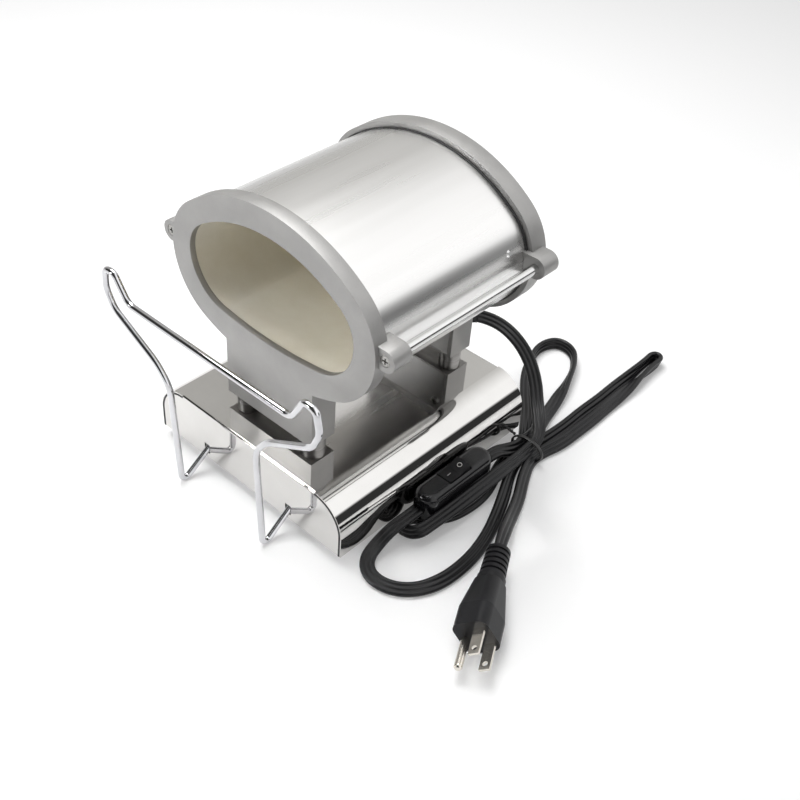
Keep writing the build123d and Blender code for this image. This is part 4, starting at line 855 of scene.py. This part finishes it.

# %% [markdown]

# %% [markdown]
# The oven stands on a plain pale sheet that keeps its shadow. More lamp light would turn the
# sheet white, but it would also bleach the oven. So the sheet glows faintly instead, and only
# for the camera and for rays that meet it in steel: it then adds no light to the object.


# %% Either of two kinds of ray
def either_ray(tree, first, second):
    """A mask that is 1 where one of two light path masks is."""
    larger = tree.nodes.new("ShaderNodeMath")
    larger.operation = "MAXIMUM"
    tree.links.new(first, larger.inputs[0])
    tree.links.new(second, larger.inputs[1])
    return larger.outputs["Value"]


# %% Floor
floor_tone = 0.80
floor_glow = 0.22
select_only()
bpy.ops.mesh.primitive_plane_add(size=6.0, location=(0, 0, 0))
floor = bpy.context.object
floor.name = "bench_floor"
floor_paint = bpy.data.materials.new("floor_paint")
floor_paint.use_nodes = True
floor_tree = floor_paint.node_tree
floor_shader = floor_tree.nodes["Principled BSDF"]
floor_shader.inputs["Base Color"].default_value = (floor_tone, floor_tone, floor_tone, 1)
floor_shader.inputs["Roughness"].default_value = 0.9
floor_shader.inputs["Specular IOR Level"].default_value = 0.1
floor_shader.inputs["Emission Color"].default_value = (1, 1, 1, 1)
floor_rays = floor_tree.nodes.new("ShaderNodeLightPath").outputs
floor_mirrored = either_ray(
    floor_tree, floor_rays["Is Glossy Ray"], floor_rays["Is Transmission Ray"],
)
floor_seen = either_ray(floor_tree, floor_rays["Is Camera Ray"], floor_mirrored)
floor_lift = floor_tree.nodes.new("ShaderNodeMath")
floor_lift.operation = "MULTIPLY"
floor_lift.inputs[1].default_value = floor_glow
floor_tree.links.new(floor_seen, floor_lift.inputs[0])
floor_tree.links.new(floor_lift.outputs["Value"], floor_shader.inputs["Emission Strength"])
floor.data.materials.append(floor_paint)
print("floor is", floor.dimensions.x, "m wide")

# %% [markdown]
# Polished steel is only as good as the room that it mirrors. A studio picture could be
# wrapped round the scene, but three soft colour ramps do as well and can be tuned by hand.
# The room is grey and brightens towards the right, it is dark in front of the mouth, and a
# dark doorway at the right draws the black band along the base's roll. Rays that light the
# bench see an even room, and the camera sees plain white.

# %% Room
world = bpy.data.worlds.new("room")
bpy.context.scene.world = world
world.use_nodes = True
sky = world.node_tree
sky.nodes.clear()
rays = sky.nodes.new("ShaderNodeLightPath").outputs
view_way = sky.nodes.new("ShaderNodeTexCoord").outputs["Generated"]


def facing(direction, first_stop, last_stop):
    """A colour that changes with how far a ray looks in a direction."""
    towards = sky.nodes.new("ShaderNodeVectorMath")
    towards.operation = "DOT_PRODUCT"
    towards.inputs[1].default_value = direction
    ramp = sky.nodes.new("ShaderNodeValToRGB")
    for number, (position, colour) in enumerate((first_stop, last_stop)):
        ramp.color_ramp.elements[number].position = position
        ramp.color_ramp.elements[number].color = (*colour, 1)
    sky.links.new(view_way, towards.inputs[0])
    sky.links.new(towards.outputs["Value"], ramp.inputs["Fac"])
    return ramp.outputs["Color"]


def multiplied(first, second):
    """Two colours multiplied."""
    product = sky.nodes.new("ShaderNodeMix")
    product.data_type = "RGBA"
    product.blend_type = "MULTIPLY"
    product.inputs["Factor"].default_value = 1.0
    sky.links.new(first, product.inputs["A"])
    sky.links.new(second, product.inputs["B"])
    return product.outputs["Result"]


walls = facing((0.62, 0.30, 0.35), (0.05, (0.42, 0.415, 0.40)), (0.62, (1, 1, 1)))
dark_front = facing((-0.15, -0.90, 0.40), (0.38, (1, 1, 1)), (0.60, (0.10, 0.10, 0.10)))
doorway = facing((0.834, 0.552, 0.05), (0.93, (1, 1, 1)), (0.96, (0.03, 0.03, 0.03)))
room_colour = multiplied(multiplied(walls, dark_front), doorway)
print("room nodes", len(sky.nodes))


# %% What each kind of ray sees of the room
def background(strength):
    """A white background of the given strength."""
    shader = sky.nodes.new("ShaderNodeBackground")
    shader.inputs["Color"].default_value = (1, 1, 1, 1)
    shader.inputs["Strength"].default_value = strength
    return shader


def chosen(mask, other, this):
    """One background where the mask is 1 and the other elsewhere."""
    choice = sky.nodes.new("ShaderNodeMixShader")
    sky.links.new(mask, choice.inputs["Fac"])
    sky.links.new(other, choice.inputs[1])
    sky.links.new(this, choice.inputs[2])
    return choice.outputs["Shader"]


even_room = background(0.40)
mirrored_room = background(1.35)
plain_white = background(1.0)
sky.links.new(room_colour, mirrored_room.inputs["Color"])
mirrored = either_ray(sky, rays["Is Glossy Ray"], rays["Is Transmission Ray"])
by_reflection = chosen(
    mirrored, even_room.outputs["Background"], mirrored_room.outputs["Background"],
)
by_camera = chosen(rays["Is Camera Ray"], by_reflection, plain_white.outputs["Background"])
world_output = sky.nodes.new("ShaderNodeOutputWorld")
sky.links.new(by_camera, world_output.inputs["Surface"])
print("world nodes", len(sky.nodes))

# %% [markdown]
# A wide soft box hangs high on the left and throws the short shadow to the right. The deep
# muffle would stay too dark under it, and a brighter box would bleach the drum, so a small
# lamp with a narrow cone reaches into the mouth alone.

# %% Lamps
for name, place, size, power, cone, aim in (
    ("top_softbox", (-0.30, 0.05, 1.05), 0.7, 11.0, 180, (0.02, 0.02, 0.08)),
    ("mouth_light", (-0.42, -0.86, 0.38), 0.25, 0.20, 24, (0.02, -0.03, 0.09)),
):
    lamp = bpy.data.lights.new(name, "AREA")
    lamp.shape = "SQUARE"
    lamp.size = size
    lamp.energy = power
    lamp.spread = radians(cone)
    holder = bpy.data.objects.new(name, lamp)
    bpy.context.scene.collection.objects.link(holder)
    holder.location = place
    holder.rotation_euler = (Vector(aim) - Vector(place)).to_track_quat("-Z", "Y").to_euler()
    print(name, "at", place)
